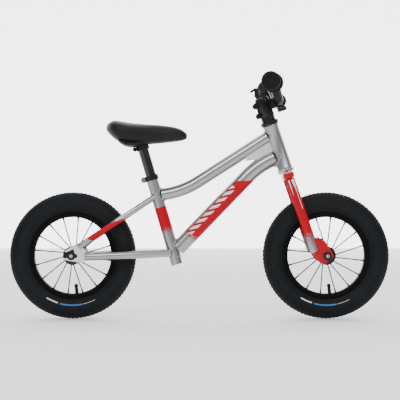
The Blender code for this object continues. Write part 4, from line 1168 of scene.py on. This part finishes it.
@dataclass
class AxleSet(Assembly):
    """The fixed axle of a wheel, with a domed nut at each end."""

    end: str

    def build(self) -> None:
        """Make the axle and its nuts."""
        middle = centre_of(self.end + "_axle")
        ridges = []
        level = -0.0625
        while level < 0.0625:
            ridges += [(0.00472, level), (0.00440, level + 0.0005)]
            level += 0.0010
        profile = [(0.0, -0.0635), (0.0040, -0.0635)] + ridges + [(0.0040, 0.0635), (0.0, 0.0635)]
        low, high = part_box(self.end + "_axle")
        half = (high[1] - low[1]) / 2
        profile = [(r, max(-half, min(half, h))) for r, h in profile]
        cones = []
        for side in (-1, 1):
            cones.append(turned([(0.0047, side * 0.0408), (0.0072, side * 0.0408),
                                 (0.0080, side * 0.0420), (0.0080, side * 0.0470),
                                 (0.0047, side * 0.0470)], 48))
        rod = finish_mesh("axle", merge(turned(profile, 32, False), *cones), 0.0)
        self.fit(self.end + "_axle_rod", rod, STEEL, Slot.STEEL,
                 Matrix.Translation(middle) @ TO_AXLE, self.end + "_axle")
        for hand, side in HANDS:
            self.nut(f"{self.end}_axle_nut_{hand}", middle, side)

    def nut(self, node: str, middle: Vector, side: int) -> None:
        """A washer and a hexagon nut with a chamfered face.

        Args:
            node: The CAD node it replaces.
            middle: The axle's middle.
            side: 1 for the left and -1 for the right.
        """
        turn = Matrix.Rotation(-side * math.pi / 2, 4, "X")
        place = Matrix.Translation(Vector((middle.x, 0.0, middle.z))) @ turn
        washer = solid(turned(ring_profile(0.0051, 0.0098, 0.0529, 0.0543, 0.0003), 48))
        hexagon = solid(prism(6, 0.0087, 0.0541, 0.0617))
        bore = solid(prism(40, 0.0050, 0.0500, 0.0700))
        chamfer = solid(turned([(0.0079, 0.0625), (0.0092, 0.0598), (0.0120, 0.0598),
                                (0.0120, 0.0625)], 48))
        mesh = fused(node + "_hex", [hexagon], [bore, chamfer], 0.0004)
        joined = gathered(node + "_hex", [mesh, washer])
        joined.set_sharp_from_angle(angle=math.radians(30))
        self.fit(node + "_hex", joined, BLACK_METAL, Slot.BLACK_METAL, place, node)


@dataclass
class FrameSet(Assembly):
    """The welded frame: tubes, stays, cups, collar and weld beads."""

    def build(self) -> None:
        """Make the frame's pieces."""
        self.seat_axis = seat_frame()
        self.head = axis_frame("steering")
        self.build_straight()
        self.build_tubes()
        self.build_stays()
        self.build_collar()
        self.build_beads()

    def build_straight(self) -> None:
        """Make the head tube, seat tube and headset cups."""
        flare = [(0.0164, 0.3312), (0.0188, 0.3312), (0.0190, 0.3306), (0.0190, 0.3268),
                 (0.0182, 0.3252), (0.0182, 0.2252), (0.0190, 0.2236), (0.0190, 0.2198),
                 (0.0188, 0.2192), (0.0164, 0.2192)]
        straight = [(SEAT_TUBE_RADIUS, SEAT_TUBE_LENGTH), (SEAT_TUBE_RADIUS, 0.0),
                    (0.0130, 0.0), (0.0130, SEAT_TUBE_LENGTH)]
        plain = FrameFinish(Graphic.PLAIN)
        panel = FrameFinish(Graphic.SEAT_TUBE, SEAT_TUBE_LENGTH - 0.1435,
                            SEAT_TUBE_LENGTH - 0.0840)
        for name, outline, place, finish in (("head_tube", flare, self.head, plain),
                                             ("seat_tube", straight, self.seat_axis, panel)):
            self.lathe(name + "_shell", outline, finish.build(), Slot.SILVER, place, name,
                       steps=72)
        for name, low, material, slot in (("lower", 0.2136, SILVER, Slot.SILVER),
                                          ("upper", 0.3316, BLACK_METAL, Slot.BLACK_METAL)):
            high = low + 0.0052
            cup = rounded([(0.0214, high), (0.0210, low), (0.0181, low), (0.0181, high)], 0.0008)
            self.lathe(name + "_cup_ring", cup, material, slot, self.head,
                       name + "_headset_cup", steps=72)

    def level(self, place: Matrix, up: float) -> Vector:
        """A point on an axis frame's axis."""
        return place @ Vector((0.0, 0.0, up))

    def paths(self) -> tuple[list[Vector], list[Vector]]:
        """The centre lines of the top tube and the down tube."""
        cluster = self.level(self.seat_axis, CLUSTER_LEVEL)
        junction = self.level(self.seat_axis, JUNCTION_LEVEL)
        top_end = self.level(self.head, 0.3313 - 0.0212)
        knee = cluster + self.rise(9.0, 0.0652)
        top = bent_path([cluster, knee, top_end], [0.200], 24)
        down_end = self.level(self.head, 0.2191 + 0.0350)
        bend = down_end - self.rise(19.5, 0.0520)
        return top, bent_path([junction, bend, down_end], [0.200], 24)

    def rise(self, slope: float, length: float) -> Vector:
        """A step forwards and up, at a slope in degrees."""
        angle = math.radians(slope)
        return Vector((length * math.cos(angle), 0.0, length * math.sin(angle)))

    def trim(self, path: list[Vector], start: float, end: float) -> list[Vector]:
        """A path without a length at each end."""
        points = list(path)
        for flip, length in ((False, start), (True, end)):
            if flip:
                points.reverse()
            left = length
            while left > 0 and len(points) > 2:
                step = (points[1] - points[0]).length
                if step > left:
                    points[0] = points[0].lerp(points[1], left / step)
                    break
                left -= step
                points.pop(0)
            if flip:
                points.reverse()
        return points

    def build_tubes(self) -> None:
        """Make the top tube and the down tube."""
        top, down = self.paths()
        for name, path, start, radius, sides, finish in (
                ("top_tube", top, 0.012, TOP_TUBE_RADIUS, 64, FrameFinish(Graphic.PLAIN)),
                ("down_tube", down, 0.013, DOWN_TUBE_RADIUS, 72,
                 FrameFinish(Graphic.DOWN_TUBE, 0.040, 0.256))):
            bm = sweep(self.trim(path, start, 0.0165), lambda share: (radius, radius), sides)
            self.fit(name + "_shell", finish_mesh(name, bm), finish.build(), Slot.SILVER, None,
                     name)

    def stay(self, start: Vector, end: Vector, side: int, sides: Sequence[float],
             size: Callable[[float], tuple[float, float]]) -> bmesh.types.BMesh:
        """A bent stay from its dropout to the seat tube."""
        corners = []
        for share, distance in zip((0.0, 0.42, 0.72, 1.0), sides):
            place = start.lerp(end, share)
            corners.append(Vector((place.x, side * distance, place.z)))
        return sweep(bent_path(corners, [0.09, 0.09], 12), size, 40)

    def build_stays(self) -> None:
        """Make the chain stays and the seat stays."""
        rear = centre_of("rear_axle")
        rear.y = 0.0
        cluster = self.level(self.seat_axis, CLUSTER_LEVEL)
        junction = self.level(self.seat_axis, JUNCTION_LEVEL) + Vector((-0.009, 0.0, -0.0005))
        plain = FrameFinish(Graphic.PLAIN).build()
        striped = FrameFinish(Graphic.SEAT_STAY, 0.024, 0.084).build()

        def chain_size(share: float) -> tuple[float, float]:
            """Slightly taller than wide, pinched at the dropout."""
            pinch = max(0.0, 1 - share / 0.10)
            return 0.0095 * (1 - 0.10 * pinch), 0.0095 * (1 - 0.38 * pinch ** 2)

        def seat_size(share: float) -> tuple[float, float]:
            """Round and slim, pinched at the dropout."""
            pinch = max(0.0, 1 - share / 0.10)
            return 0.0070, 0.0062 * (1 - 0.35 * pinch ** 2)

        for hand, side in HANDS:
            for name, foot, end, spread, size, material in (
                    ("chain_stay", (0.0315, 0.0, -0.0020), junction,
                     (0.050, 0.048, 0.031, 0.0110), chain_size, plain),
                    ("seat_stay", (0.0166, 0.0, 0.0213), cluster,
                     (0.050, 0.048, 0.032, 0.0085), seat_size, striped)):
                bm = self.stay(rear + Vector(foot), end, side, spread, size)
                self.fit(f"{name}_shell_{hand}", finish_mesh(name, bm), material, Slot.SILVER,
                         None, f"{name}_{hand}")

    def build_collar(self) -> None:
        """Make the split collar round the seat tube's top."""
        low, high = 0.2115, 0.2235
        middle = (low + high) / 2
        ring_ = solid(turned([(0.0168, high), (0.0168, low), (0.0146, low), (0.0146, high)], 64))
        turn = Matrix.Translation((-0.0195, 0.0, middle)) @ Matrix.Rotation(math.pi / 2, 4, "X")
        ear = solid(prism(32, 0.0068, -0.0085, 0.0085), turn)
        neck = solid(block((-0.0195, -0.0085, low + 0.0006), (-0.0135, 0.0085, high - 0.0006)))
        bore = solid(prism(64, 0.0146, low - 0.01, high + 0.01))
        slit = solid(block((-0.04, -0.0008, low - 0.01), (0.0, 0.0008, high + 0.01)))
        hole = solid(prism(24, 0.0031, -0.02, 0.02), turn)
        mesh = fused("seat_collar", [ring_, ear, neck], [bore, slit, hole], 0.0006)
        self.fit("seat_collar_band", mesh, BLACK_METAL, Slot.BLACK_METAL, self.seat_axis,
                 "seat_clamp")

    def build_beads(self) -> None:
        """Lay a weld bead round every tube's end."""
        top, down = self.paths()
        head, seat = self.head, self.seat_axis
        bm = bmesh.new()
        for path, radius, which, wall in (
                (top, TOP_TUBE_RADIUS, head, HEAD_TUBE_RADIUS),
                (down, DOWN_TUBE_RADIUS, head, HEAD_TUBE_RADIUS),
                (top[::-1], TOP_TUBE_RADIUS, seat, SEAT_TUBE_RADIUS),
                (down[::-1], 0.0180, seat, SEAT_TUBE_RADIUS)):
            loop = self.mitre(path[-1], (path[-1] - path[-3]).normalized(), radius, which, wall)
            rows = [bm.verts.new(p) for p in loop]
            for first, second in zip(rows, rows[1:] + rows[:1]):
                bm.edges.new((first, second))
        mesh = bpy.data.meshes.new("bead_paths")
        bm.to_mesh(mesh)
        bm.free()
        seed = add_piece("bead_seed", mesh)
        made = BEAD.apply(seed, {"Spacing": 0.0015, "Radius": 0.0017, "Material": STEEL})
        self.fit("weld_beads", made, FrameFinish(Graphic.PLAIN, tone=0.42).build(), Slot.SILVER)

    def mitre(self, end: Vector, ahead: Vector, radius: float, which: Matrix,
              wall: float) -> list[Vector]:
        """The curve where a tube meets a round post.

        Args:
            end: The tube's end on the post's axis.
            ahead: The tube's direction there.
            radius: The tube's radius.
            which: The post's frame.
            wall: The post's radius.

        Returns:
            Points round the joint.
        """
        inverse = which.inverted()
        side = Vector((0.0, 1.0, 0.0))
        up = ahead.cross(side).normalized()
        local_ahead = (inverse.to_3x3() @ ahead).normalized()
        points = []
        for step in range(60):
            angle = TAU * step / 60
            offset = (up * math.cos(angle) + side * math.sin(angle)) * (radius + 0.0004)
            place = inverse @ (end + offset)
            reach = math.sqrt(max((wall + 0.0004) ** 2 - place.y ** 2, 1e-7))
            sign = -1 if local_ahead.x > 0 else 1
            distance = (sign * reach - place.x) / local_ahead.x
            points.append(which @ (place + local_ahead * distance))
        return points

    def dress(self) -> None:
        """Paint the plates, the bearings and the collar's bolt; the plates' lighter silver paints
        light onto the gussets, which sit in shade.
        """
        plates = ("dropout_right", "dropout_left", "throat_gusset", "lower_gusset")
        bearings = ("lower_headset_bearing", "upper_headset_bearing")
        self.paint(dict.fromkeys(plates, PALE_SILVER_WITH_PAINTED_LIGHT) | dict.fromkeys(bearings, STEEL)
                   | {"seat_clamp_bolt": BOLT_METAL})


@dataclass
class Saddle(Assembly):
    """Seat post, saddle base and the padded cover."""

    def build(self) -> None:
        """Make the post and the cover."""
        axis = seat_frame()
        self.top = axis @ Vector((0.0, 0.0, 0.3045))
        post = [(0.0127, 0.3045), (0.0127, 0.1150), (0.0123, 0.1146), (0.0111, 0.1146),
                (0.0111, 0.3045)]
        shade = Shader("seat_post", 0.14, 0.0, Coat_Weight=0.25, Coat_Roughness=0.04)
        cloud = shade.noise(60.0, 3.0)
        scratches = shade.noise(500.0, 2.0, stretch=(1.0, 1.0, 0.05))
        shade.put("Base Color", shade.mix(cloud, grey(0.004, 0.1), grey(0.008, 0.1)))
        shade.put("Roughness", 0.12 + 0.12 * scratches.above(0.55, 0.2))
        shade.bump(scratches, 0.00002, 0.4)
        self.lathe("seat_post_tube", post, shade.material, Slot.BLACK_METAL, axis, "seat_post")
        self.build_cover()

    def section(self, x: float, low: float, high: float, half: float,
                power: float = 2.6, points: int = 40) -> list[Vector]:
        """A rounded section across the saddle."""
        ring = []
        middle, rise = (low + high) / 2, (high - low) / 2
        for step in range(points):
            angle = TAU * step / points
            c, s = math.cos(angle), math.sin(angle)
            ring.append(self.top + Vector((x, half * math.copysign(abs(c) ** (2 / power), c),
                                           middle + rise * math.copysign(abs(s) ** (2 / power),
                                                                         s))))
        return ring

    def cover_shape(self) -> bmesh.types.BMesh:
        """The cover as a smooth loft from tail to nose."""
        spread = np.linspace(0.0, 1.0, 44)
        x = np.interp(spread, [0, 1], [-0.0845, 0.1105])
        at = [-0.0845, -0.0770, -0.0640, -0.0520, -0.0400, -0.0280, -0.0040, 0.0210, 0.0450,
              0.0690, 0.0900, 0.1040, 0.1105]
        low = np.interp(x, at, [0.031, 0.0215, 0.0095, 0.002, -0.001, -0.0025, -0.003, -0.0026,
                                -0.0005, 0.002, 0.0046, 0.0072, 0.0108])
        high = np.interp(x, at, [0.042, 0.0525, 0.0560, 0.0535, 0.0512, 0.0490, 0.0465, 0.0450,
                                 0.0440, 0.0415, 0.0372, 0.0302, 0.0228])
        half = np.interp(x, at, [0.022, 0.042, 0.056, 0.061, 0.061, 0.057, 0.046, 0.035, 0.029,
                                 0.027, 0.024, 0.018, 0.011])
        kernel = np.array([0.25, 0.5, 0.25])
        for values in (low, high, half):
            for _ in range(2):
                values[1:-1] = np.convolve(values, kernel, "valid")
        rings = [self.section(*station) for station in zip(x, low, high, half)]
        return skin(rings)

    def build_cover(self) -> None:
        """Make the cover and let the cloth solver pad it out."""
        cover = add_piece("saddle_skin", finish_mesh("saddle", self.cover_shape(), 0.00001),
                          SADDLE_SKIN)
        remesh = cover.modifiers.new("even", "REMESH")
        remesh.mode = "VOXEL"
        remesh.voxel_size = 0.005
        mesh = baked(cover)
        cover.modifiers.clear()
        cover.data = mesh
        self.inflate(cover)
        smooth = cover.modifiers.new("round", "SUBSURF")
        smooth.levels = smooth.render_levels = 1
        mesh = baked(cover)
        cover.modifiers.clear()
        cover.data = mesh
        mesh.shade_smooth()
        mesh.materials.clear()
        mesh.materials.append(SADDLE_SKIN)
        settle(cover, self.body, Slot.SADDLE, "saddle_cover")

    def inflate(self, cover: bpy.types.Object) -> None:
        """Run the cloth solver with the lower half pinned.

        Args:
            cover: The cover, remeshed evenly; its points move a few millimetres.
        """
        before = np.array([v.co[:] for v in cover.data.vertices])
        group = cover.vertex_groups.new(name="pinned")
        split = self.top.z + 0.016
        for vertex in cover.data.vertices:
            depth = (split - vertex.co.z) / 0.012
            weight = min(1.0, max(0.0, 0.5 + depth))
            group.add([vertex.index], weight, "REPLACE")
        cloth = cover.modifiers.new("pad", "CLOTH")
        settings = cloth.settings
        settings.quality = 6
        settings.mass = 0.2
        settings.vertex_group_mass = "pinned"
        settings.use_pressure = True
        settings.uniform_pressure_force = 4.0
        settings.tension_stiffness = settings.compression_stiffness = 30.0
        settings.shear_stiffness = 15.0
        settings.bending_stiffness = 2.0
        settings.effector_weights.gravity = 0.0
        last, cap, share = 20, 0.006, 0.6
        cloth.point_cache.frame_start = 1
        cloth.point_cache.frame_end = last
        scene = bpy.context.scene
        for number in range(1, last + 1):
            scene.frame_set(number)
            bpy.context.view_layer.update()
        evaluated = cover.evaluated_get(bpy.context.evaluated_depsgraph_get())
        moved = np.array([v.co[:] for v in evaluated.data.vertices])
        scene.frame_set(1)
        cover.modifiers.clear()
        shift = moved - before
        length = np.linalg.norm(shift, axis=1)
        scale = np.where(length > cap, cap / np.maximum(length, 1e-9), 1.0)
        after = before + shift * scale[:, None] * share
        for vertex, place in zip(cover.data.vertices, after):
            vertex.co = place
        LOG.info("cover moved up to %.1f mm", float(length.max()) * 1000)

    def dress(self) -> None:
        """Paint the base and its bolt."""
        self.paint({"saddle_base": PLASTIC, "saddle_clamp_bolt": BLACK_METAL})


@dataclass
class Fork(Assembly):
    """Crown, legs, steerer, headset cover and stem."""

    def build(self) -> None:
        """Make the fork's pieces."""
        self.axis = axis_frame("steering")
        self.build_crown()
        self.build_legs()
        self.build_column()
        self.build_stem()

    def build_crown(self) -> None:
        """Make the crown as a rounded block."""
        body = solid(block((-0.01325, -0.0545, 0.1955), (0.01325, 0.0545, 0.2105)))
        mesh = fused("crown", [body], [], 0.0045)
        self.fit("fork_crown_bridge", mesh, RED_PAINT, Slot.RED, self.axis, "fork_crown")

    def build_legs(self) -> None:
        """Make the two oval legs, closed at the foot."""
        leg = FrameFinish(Graphic.FORK_LEG, 0.020, 0.1874).build()
        for hand, side in HANDS:
            rings, lengths = [], []
            levels = [0.0078, 0.0082, 0.0098, 0.0140, 0.0240] + [
                0.0240 + 0.0115 * k for k in range(1, 15)] + [0.1946, 0.1952]
            for level in levels:
                round_ = 1 - 0.35 * max(0.0, (0.0100 - level) / 0.0022)
                ring = []
                for j in range(48):
                    angle = TAU * j / 48
                    ring.append(Vector((-0.0115 * round_ * math.cos(angle),
                                        side * 0.046 + side * 0.0085 * round_ * math.sin(angle),
                                        level)))
                rings.append(ring)
                lengths.append(level - 0.0078)
            bm = skin(rings, lengths)
            self.fit("fork_leg_tube_" + hand, finish_mesh("leg", bm), leg, Slot.RED, self.axis,
                     "fork_leg_" + hand)

    def build_column(self) -> None:
        """Make the race, the headset cover and the cap."""
        race = rounded([(0.0190, 0.2133), (0.0190, 0.2108), (0.0146, 0.2108), (0.0146, 0.2133)],
                       0.0004)
        cover = rounded([(0.0170, 0.3528), (0.0170, 0.3440), (0.0184, 0.3422), (0.0226, 0.3408),
                         (0.0228, 0.3371), (0.0146, 0.3371), (0.0146, 0.3528)], 0.0008)
        for name, outline, material, slot, node in (
                ("crown_race_ring", race, SILVER, Slot.SILVER, "crown_race"),
                ("headset_cover_cone", cover, BLACK_METAL, Slot.BLACK_METAL, "headset_cover")):
            self.lathe(name, outline, material, slot, self.axis, node)
        cap = [(0.0, 0.3978), (0.0036, 0.3978), (0.0042, 0.4012), (0.0052, 0.4018),
               (0.0148, 0.4016), (0.0162, 0.4008), (0.0170, 0.3994), (0.0170, 0.3971),
               (0.0, 0.3971)]
        self.lathe("stem_cap_disc", cap, BLACK_METAL, Slot.BLACK_METAL, self.axis,
                   "stem_top_cap", closed=False)

    def across(self, forward: float, up: float) -> Matrix:
        """A frame across the steering axis, Z towards the left."""
        return Matrix.Translation((forward, 0.0, up)) @ TO_AXLE

    def build_stem(self) -> None:
        """Make the stem with its clamp, arm and ears, and the faceplate."""
        low, high, level, reach = 0.3531, 0.3968, BAR_LEVEL, BAR_REACH
        ear_back, ear_levels = -0.0205, (0.37345 - 0.0125, 0.37345 + 0.0125)
        post = solid(prism(64, 0.0178, low, high))
        ears = [solid(prism(32, 0.0068, -0.0100, 0.0100), self.across(ear_back, up))
                for up in ear_levels]
        ears += [solid(block((ear_back, -0.0100, up - 0.0052), (-0.006, 0.0100, up + 0.0052)))
                 for up in ear_levels]
        ears.append(solid(block((-0.0190, -0.0085, 0.362), (-0.006, 0.0085, 0.385))))
        ears.append(solid(prism(40, 0.0088, -0.0110, 0.0110), self.across(-0.0125, 0.3878)))
        arm = solid(block((0.0, -0.012, level - 0.012), (0.030, 0.012, level + 0.012)))
        clamp = solid(prism(56, 0.0160, -0.022, 0.022), self.across(reach, level))
        lugs = solid(block((0.028, -0.0065, level - 0.025), (0.0382, 0.0065, level + 0.025)))
        front = solid(block((reach - 0.0003, -0.04, level - 0.04), (0.08, 0.04, level + 0.04)))
        bar = solid(prism(56, 0.0114, -0.04, 0.04), self.across(reach, level))
        slit = solid(block((-0.040, -0.00075, low - 0.01), (0.0, 0.00075, high + 0.01)))
        bore = solid(prism(64, 0.0146, low - 0.01, high + 0.01))
        holes = [solid(prism(24, 0.0028, -0.03, 0.03), self.across(ear_back, up))
                 for up in ear_levels]
        mesh = fused("stem", [post, arm, clamp, lugs] + ears, [front, bar, slit, bore] + holes,
                     0.0011)
        self.fit("stem_body", mesh, BLACK_METAL, Slot.BLACK_METAL, self.axis, "stem")
        face = solid(prism(56, 0.0178, -0.022, 0.022), self.across(reach, level))
        tabs = solid(block((0.0358, -0.0065, level - 0.025), (0.0480, 0.0065, level + 0.025)))
        back = solid(block((-0.003, -0.04, level - 0.04), (reach + 0.0003, 0.04, level + 0.04)))
        bar = solid(prism(56, 0.0114, -0.04, 0.04), self.across(reach, level))
        window = solid(block((0.044, -0.013, level - 0.0055), (0.06, 0.013, level + 0.0055)))
        mesh = fused("faceplate", [face, tabs], [back, bar, window], 0.0009)
        self.fit("stem_faceplate_body", mesh, BLACK_METAL, Slot.BLACK_METAL, self.axis,
                 "stem_faceplate")

    def dress(self) -> None:
        """Paint the steerer, the dropouts and the bolts."""
        bolts = ("stem_pinch_bolt_upper", "stem_pinch_bolt_lower", "faceplate_bolt_upper",
                 "faceplate_bolt_lower")
        self.paint({"steerer_tube": STEEL, "fork_dropout_right": RED_PAINT,
                    "fork_dropout_left": RED_PAINT} | dict.fromkeys(bolts, BLACK_METAL))


@dataclass
class Bars(Assembly):
    """Riser handlebar, grips and the bell."""

    def build(self) -> None:
        """Make the bar, the grips and the bell."""
        middle = axis_frame("steering") @ Vector((BAR_REACH, 0.0, BAR_LEVEL))
        corners, bends = [], [0.017, 0.030, 0.030, 0.017]
        for side in (-1, 1):
            ends = [middle + Vector((-0.0287, side * 0.2107, 0.0333)),
                    middle + Vector((-0.0139, side * 0.075, 0.0382)),
                    middle + Vector((0.0, side * 0.036, 0.0))]
            corners += ends if side < 0 else ends[::-1]
        path = bent_path(corners, bends, 14, 0.008)
        bm = sweep(path, lambda share: (0.0111, 0.0111), 48)
        self.fit("handlebar_tube", finish_mesh("bar", bm), GLOSS_BLACK, Slot.BLACK_METAL, None,
                 "handlebar")
        self.knees = {-1: (corners[1], corners[0]), 1: (corners[4], corners[5])}
        for hand, side in HANDS:
            self.build_grip(hand, side)
        self.build_bell()

    def build_grip(self, hand: str, side: int) -> None:
        """One ribbed grip with its guard and bumper."""
        knee, end = self.knees[side]
        place = Matrix.Translation(end) @ (end - knee).to_track_quat("Z", "Y").to_matrix().to_4x4()
        outer = [(0.0, 0.0043)]
        for ring in (0.0052, 0.0094, 0.0136):
            outer += [(ring, 0.0043), (ring + 0.0004, 0.0036), (ring + 0.0012, 0.0036),
                      (ring + 0.0016, 0.0043)]
        outer += [(0.0176, 0.0042), (0.0202, 0.0034), (0.0218, 0.0016), (0.0222, -0.0006),
                  (0.0220, -0.0044), (0.0204, -0.0076), (0.0168, -0.0100), (0.0152, -0.0118)]
        level = -0.0150
        while level > -0.0900:
            bulge = 0.0006 * math.sin(math.pi * (level + 0.0150) / -0.0750)
            outer += [(0.0142 + bulge, level), (0.0150 + bulge, level - 0.0006),
                      (0.0150 + bulge, level - 0.0016), (0.0142 + bulge, level - 0.0022)]
            level -= 0.0030
        outer += [(0.0150, -0.0950), (0.0162, -0.0985), (0.0212, -0.0998), (0.0230, -0.1008),
                  (0.0235, -0.1022), (0.0229, -0.1036), (0.0114, -0.1037), (0.0114, 0.0003),
                  (0.0, 0.0003)]
        self.lathe("grip_sleeve_" + hand, outer, GRIP, Slot.GRIP, place, "grip_" + hand,
                   closed=False)

    def build_bell(self) -> None:
        """Make the dome, its rim and centre screw."""
        knee, end = self.knees[-1]
        share = (-0.088 - knee.y) / (end.y - knee.y)
        centre = knee.lerp(end, share) + Vector((-0.0233, 0.0, -0.0098))
        place = Matrix.Translation(centre) @ Matrix.Rotation(-math.pi / 2, 4, "Y")
        outer, inner = [], []
        for step in range(19):
            angle = math.pi / 2 * step / 18
            outer.append((0.0138 * math.sin(angle), 0.0146 * math.cos(angle) + 0.0003))
            inner.append((0.0126 * math.sin(angle), 0.0134 * math.cos(angle) + 0.0003))
        rim = [(0.0140, 0.0004), (0.0141, 0.0), (0.0138, -0.0003), (0.0128, -0.0003)]
        bm = merge(turned(outer[:-1] + rim + inner[::-1][1:], 64, False),
                   turned(rod_profile(0.0025, 0.0004, 0.0144), 24, False),
                   turned(rod_profile(0.0032, 0.0142, 0.0157, 0.0004), 24, False))
        self.fit("bell_dome_shell", finish_mesh("dome", bm, 0.0), GLOSS_BLACK, Slot.BLACK_METAL,
                 place, "bell_dome")

    def dress(self) -> None:
        """Paint the bell's clamp."""
        self.paint({"bell_clamp": PLASTIC})


@dataclass
class BellLever(Assembly):
    """The bell's thumb lever."""

    def build(self) -> None:
        """Make the lever: a hinge eye, an arm, an upright and a sloping thumb pad."""
        pivot = Vector(JOINTS["bell_lever_press"]["pos_m"])
        low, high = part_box("bell_lever")
        left, right = low[1] + 0.0042, high[1] - 0.0042
        middle = (low[1] + high[1]) / 2
        place = Matrix.Translation((pivot.x, middle, pivot.z)) @ Matrix.Rotation(
            math.pi / 2, 4, "X")
        eye = solid(prism(32, 0.0034, -0.0024, 0.0024), place)
        foot = pivot.x - 0.0232
        sole = pivot.z - 0.0055
        arm = solid(block((foot - 0.0010, left, sole), (pivot.x, right, sole + 0.0034)))
        post = solid(block((foot - 0.0028, left - 0.0004, sole + 0.0001),
                           (foot + 0.0018, right + 0.0004, sole + 0.0165)))
        slope = Matrix.Translation((foot - 0.0052, middle, sole + 0.0161)) @ Matrix.Rotation(
            math.radians(-31), 4, "Y")
        pad = solid(block((-0.0080, -0.0064, -0.0026), (0.0080, 0.0064, 0.0026)), slope)
        pin = solid(prism(24, 0.0016, -0.01, 0.01), place)
        mesh = fused("bell_lever_thumb", [eye, arm, post, pad], [pin], 0.0005)
        self.fit("bell_lever_thumb", mesh, PLASTIC, Slot.PLASTIC, None, "bell_lever")


# ------------------------------------------------------------------ studio


@dataclass(frozen=True)
class Light:
    """A soft area light aimed at a target."""

    name: str
    place: tuple[float, float, float]
    size: tuple[float, float]
    power: float
    target: tuple[float, float, float] = (0.0, 0.0, 0.28)

    def add(self) -> bpy.types.Object:
        """Add the light to the scene."""
        data = bpy.data.lights.new(self.name, "AREA")
        data.shape = "RECTANGLE"
        data.size, data.size_y = self.size
        data.energy = self.power
        lamp = bpy.data.objects.new(self.name, data)
        bpy.context.scene.collection.objects.link(lamp)
        lamp.location = self.place
        aim = Vector(self.target) - Vector(self.place)
        lamp.rotation_euler = aim.to_track_quat("-Z", "Y").to_euler()
        return lamp


def pale_sheet(name: str, corners: Sequence[Sequence[float]], base: tuple[float, ...],
               rough: float, glow: float) -> bpy.types.Object:
    """A flat pale sheet that gives off a little light.

    Args:
        name: Its name, without the studio's prefix.
        corners: Its four corners.
        base: Its colour.
        rough: Its roughness.
        glow: How strongly it glows.

    Returns:
        The sheet.
    """
    mesh = bpy.data.meshes.new(name)
    mesh.from_pydata(corners, [], [(0, 1, 2, 3)])
    material = bpy.data.materials.new(name)
    material.use_nodes = True
    shader = material.node_tree.nodes["Principled BSDF"]
    shader.inputs["Base Color"].default_value = base
    shader.inputs["Roughness"].default_value = rough
    shader.inputs["Emission Color"].default_value = (1.0, 1.0, 1.0, 1.0)
    shader.inputs["Emission Strength"].default_value = glow
    return add_piece("studio_" + name, mesh, material)


def add_studio() -> None:
    """Add the pale floor, the backdrop, the world, the lights and the camera."""
    floor = pale_sheet("floor", [(-9, -9, 0), (9, -9, 0), (9, 9, 0), (-9, 9, 0)],
                       (0.86, 0.86, 0.87, 1.0), 0.8, 0.22)
    floor.location.z = -0.0005
    backdrop = pale_sheet("backdrop", [(-8.5, 5.1, -0.01), (8.5, 5.1, -0.01), (8.5, 5.1, 6.8),
                                       (-8.5, 5.1, 6.8)], (0.9, 0.9, 0.9, 1.0), 0.5, 3.6)
    lights = (Light("key", (-0.3, -2.3, 2.1), (3.2, 0.30), 62.0),
              Light("fill", (2.5, -2.3, 2.3), (0.5, 1.8), 13.0),
              Light("above", (0.0, 0.3, 3.0), (2.6, 1.2), 34.0))
    for light in lights:
        light.add()
    world = bpy.data.worlds.new("studio")
    bpy.context.scene.world = world
    world.use_nodes = True
    sky = world.node_tree.nodes["Background"]
    sky.inputs["Color"].default_value = (1.0, 1.0, 1.0, 1.0)
    sky.inputs["Strength"].default_value = 0.42
    data = bpy.data.cameras.new("camera")
    data.lens = 130.4
    data.sensor_width = 36.0
    camera = bpy.data.objects.new("camera", data)
    bpy.context.scene.collection.objects.link(camera)
    camera.location = (0.0014, -3.5, 0.286)
    camera.rotation_euler = (math.pi / 2, 0.0, 0.0)
    bpy.context.scene.camera = camera


def main() -> None:
    """Build every sub-assembly, dress it and add the studio."""
    assemblies: list[Assembly] = [
        Wheel(Body.REAR_WHEEL, "rear"), Wheel(Body.FRONT_WHEEL, "front"),
        AxleSet(Body.FRAME, "rear"), AxleSet(Body.FORK, "front"), FrameSet(Body.FRAME),
        Saddle(Body.SEAT), Fork(Body.FORK), Bars(Body.BARS), BellLever(Body.LEVER)]
    for assembly in assemblies:
        assembly.build()
        assembly.dress()
    add_studio()


if __name__ == "__main__":
    main()
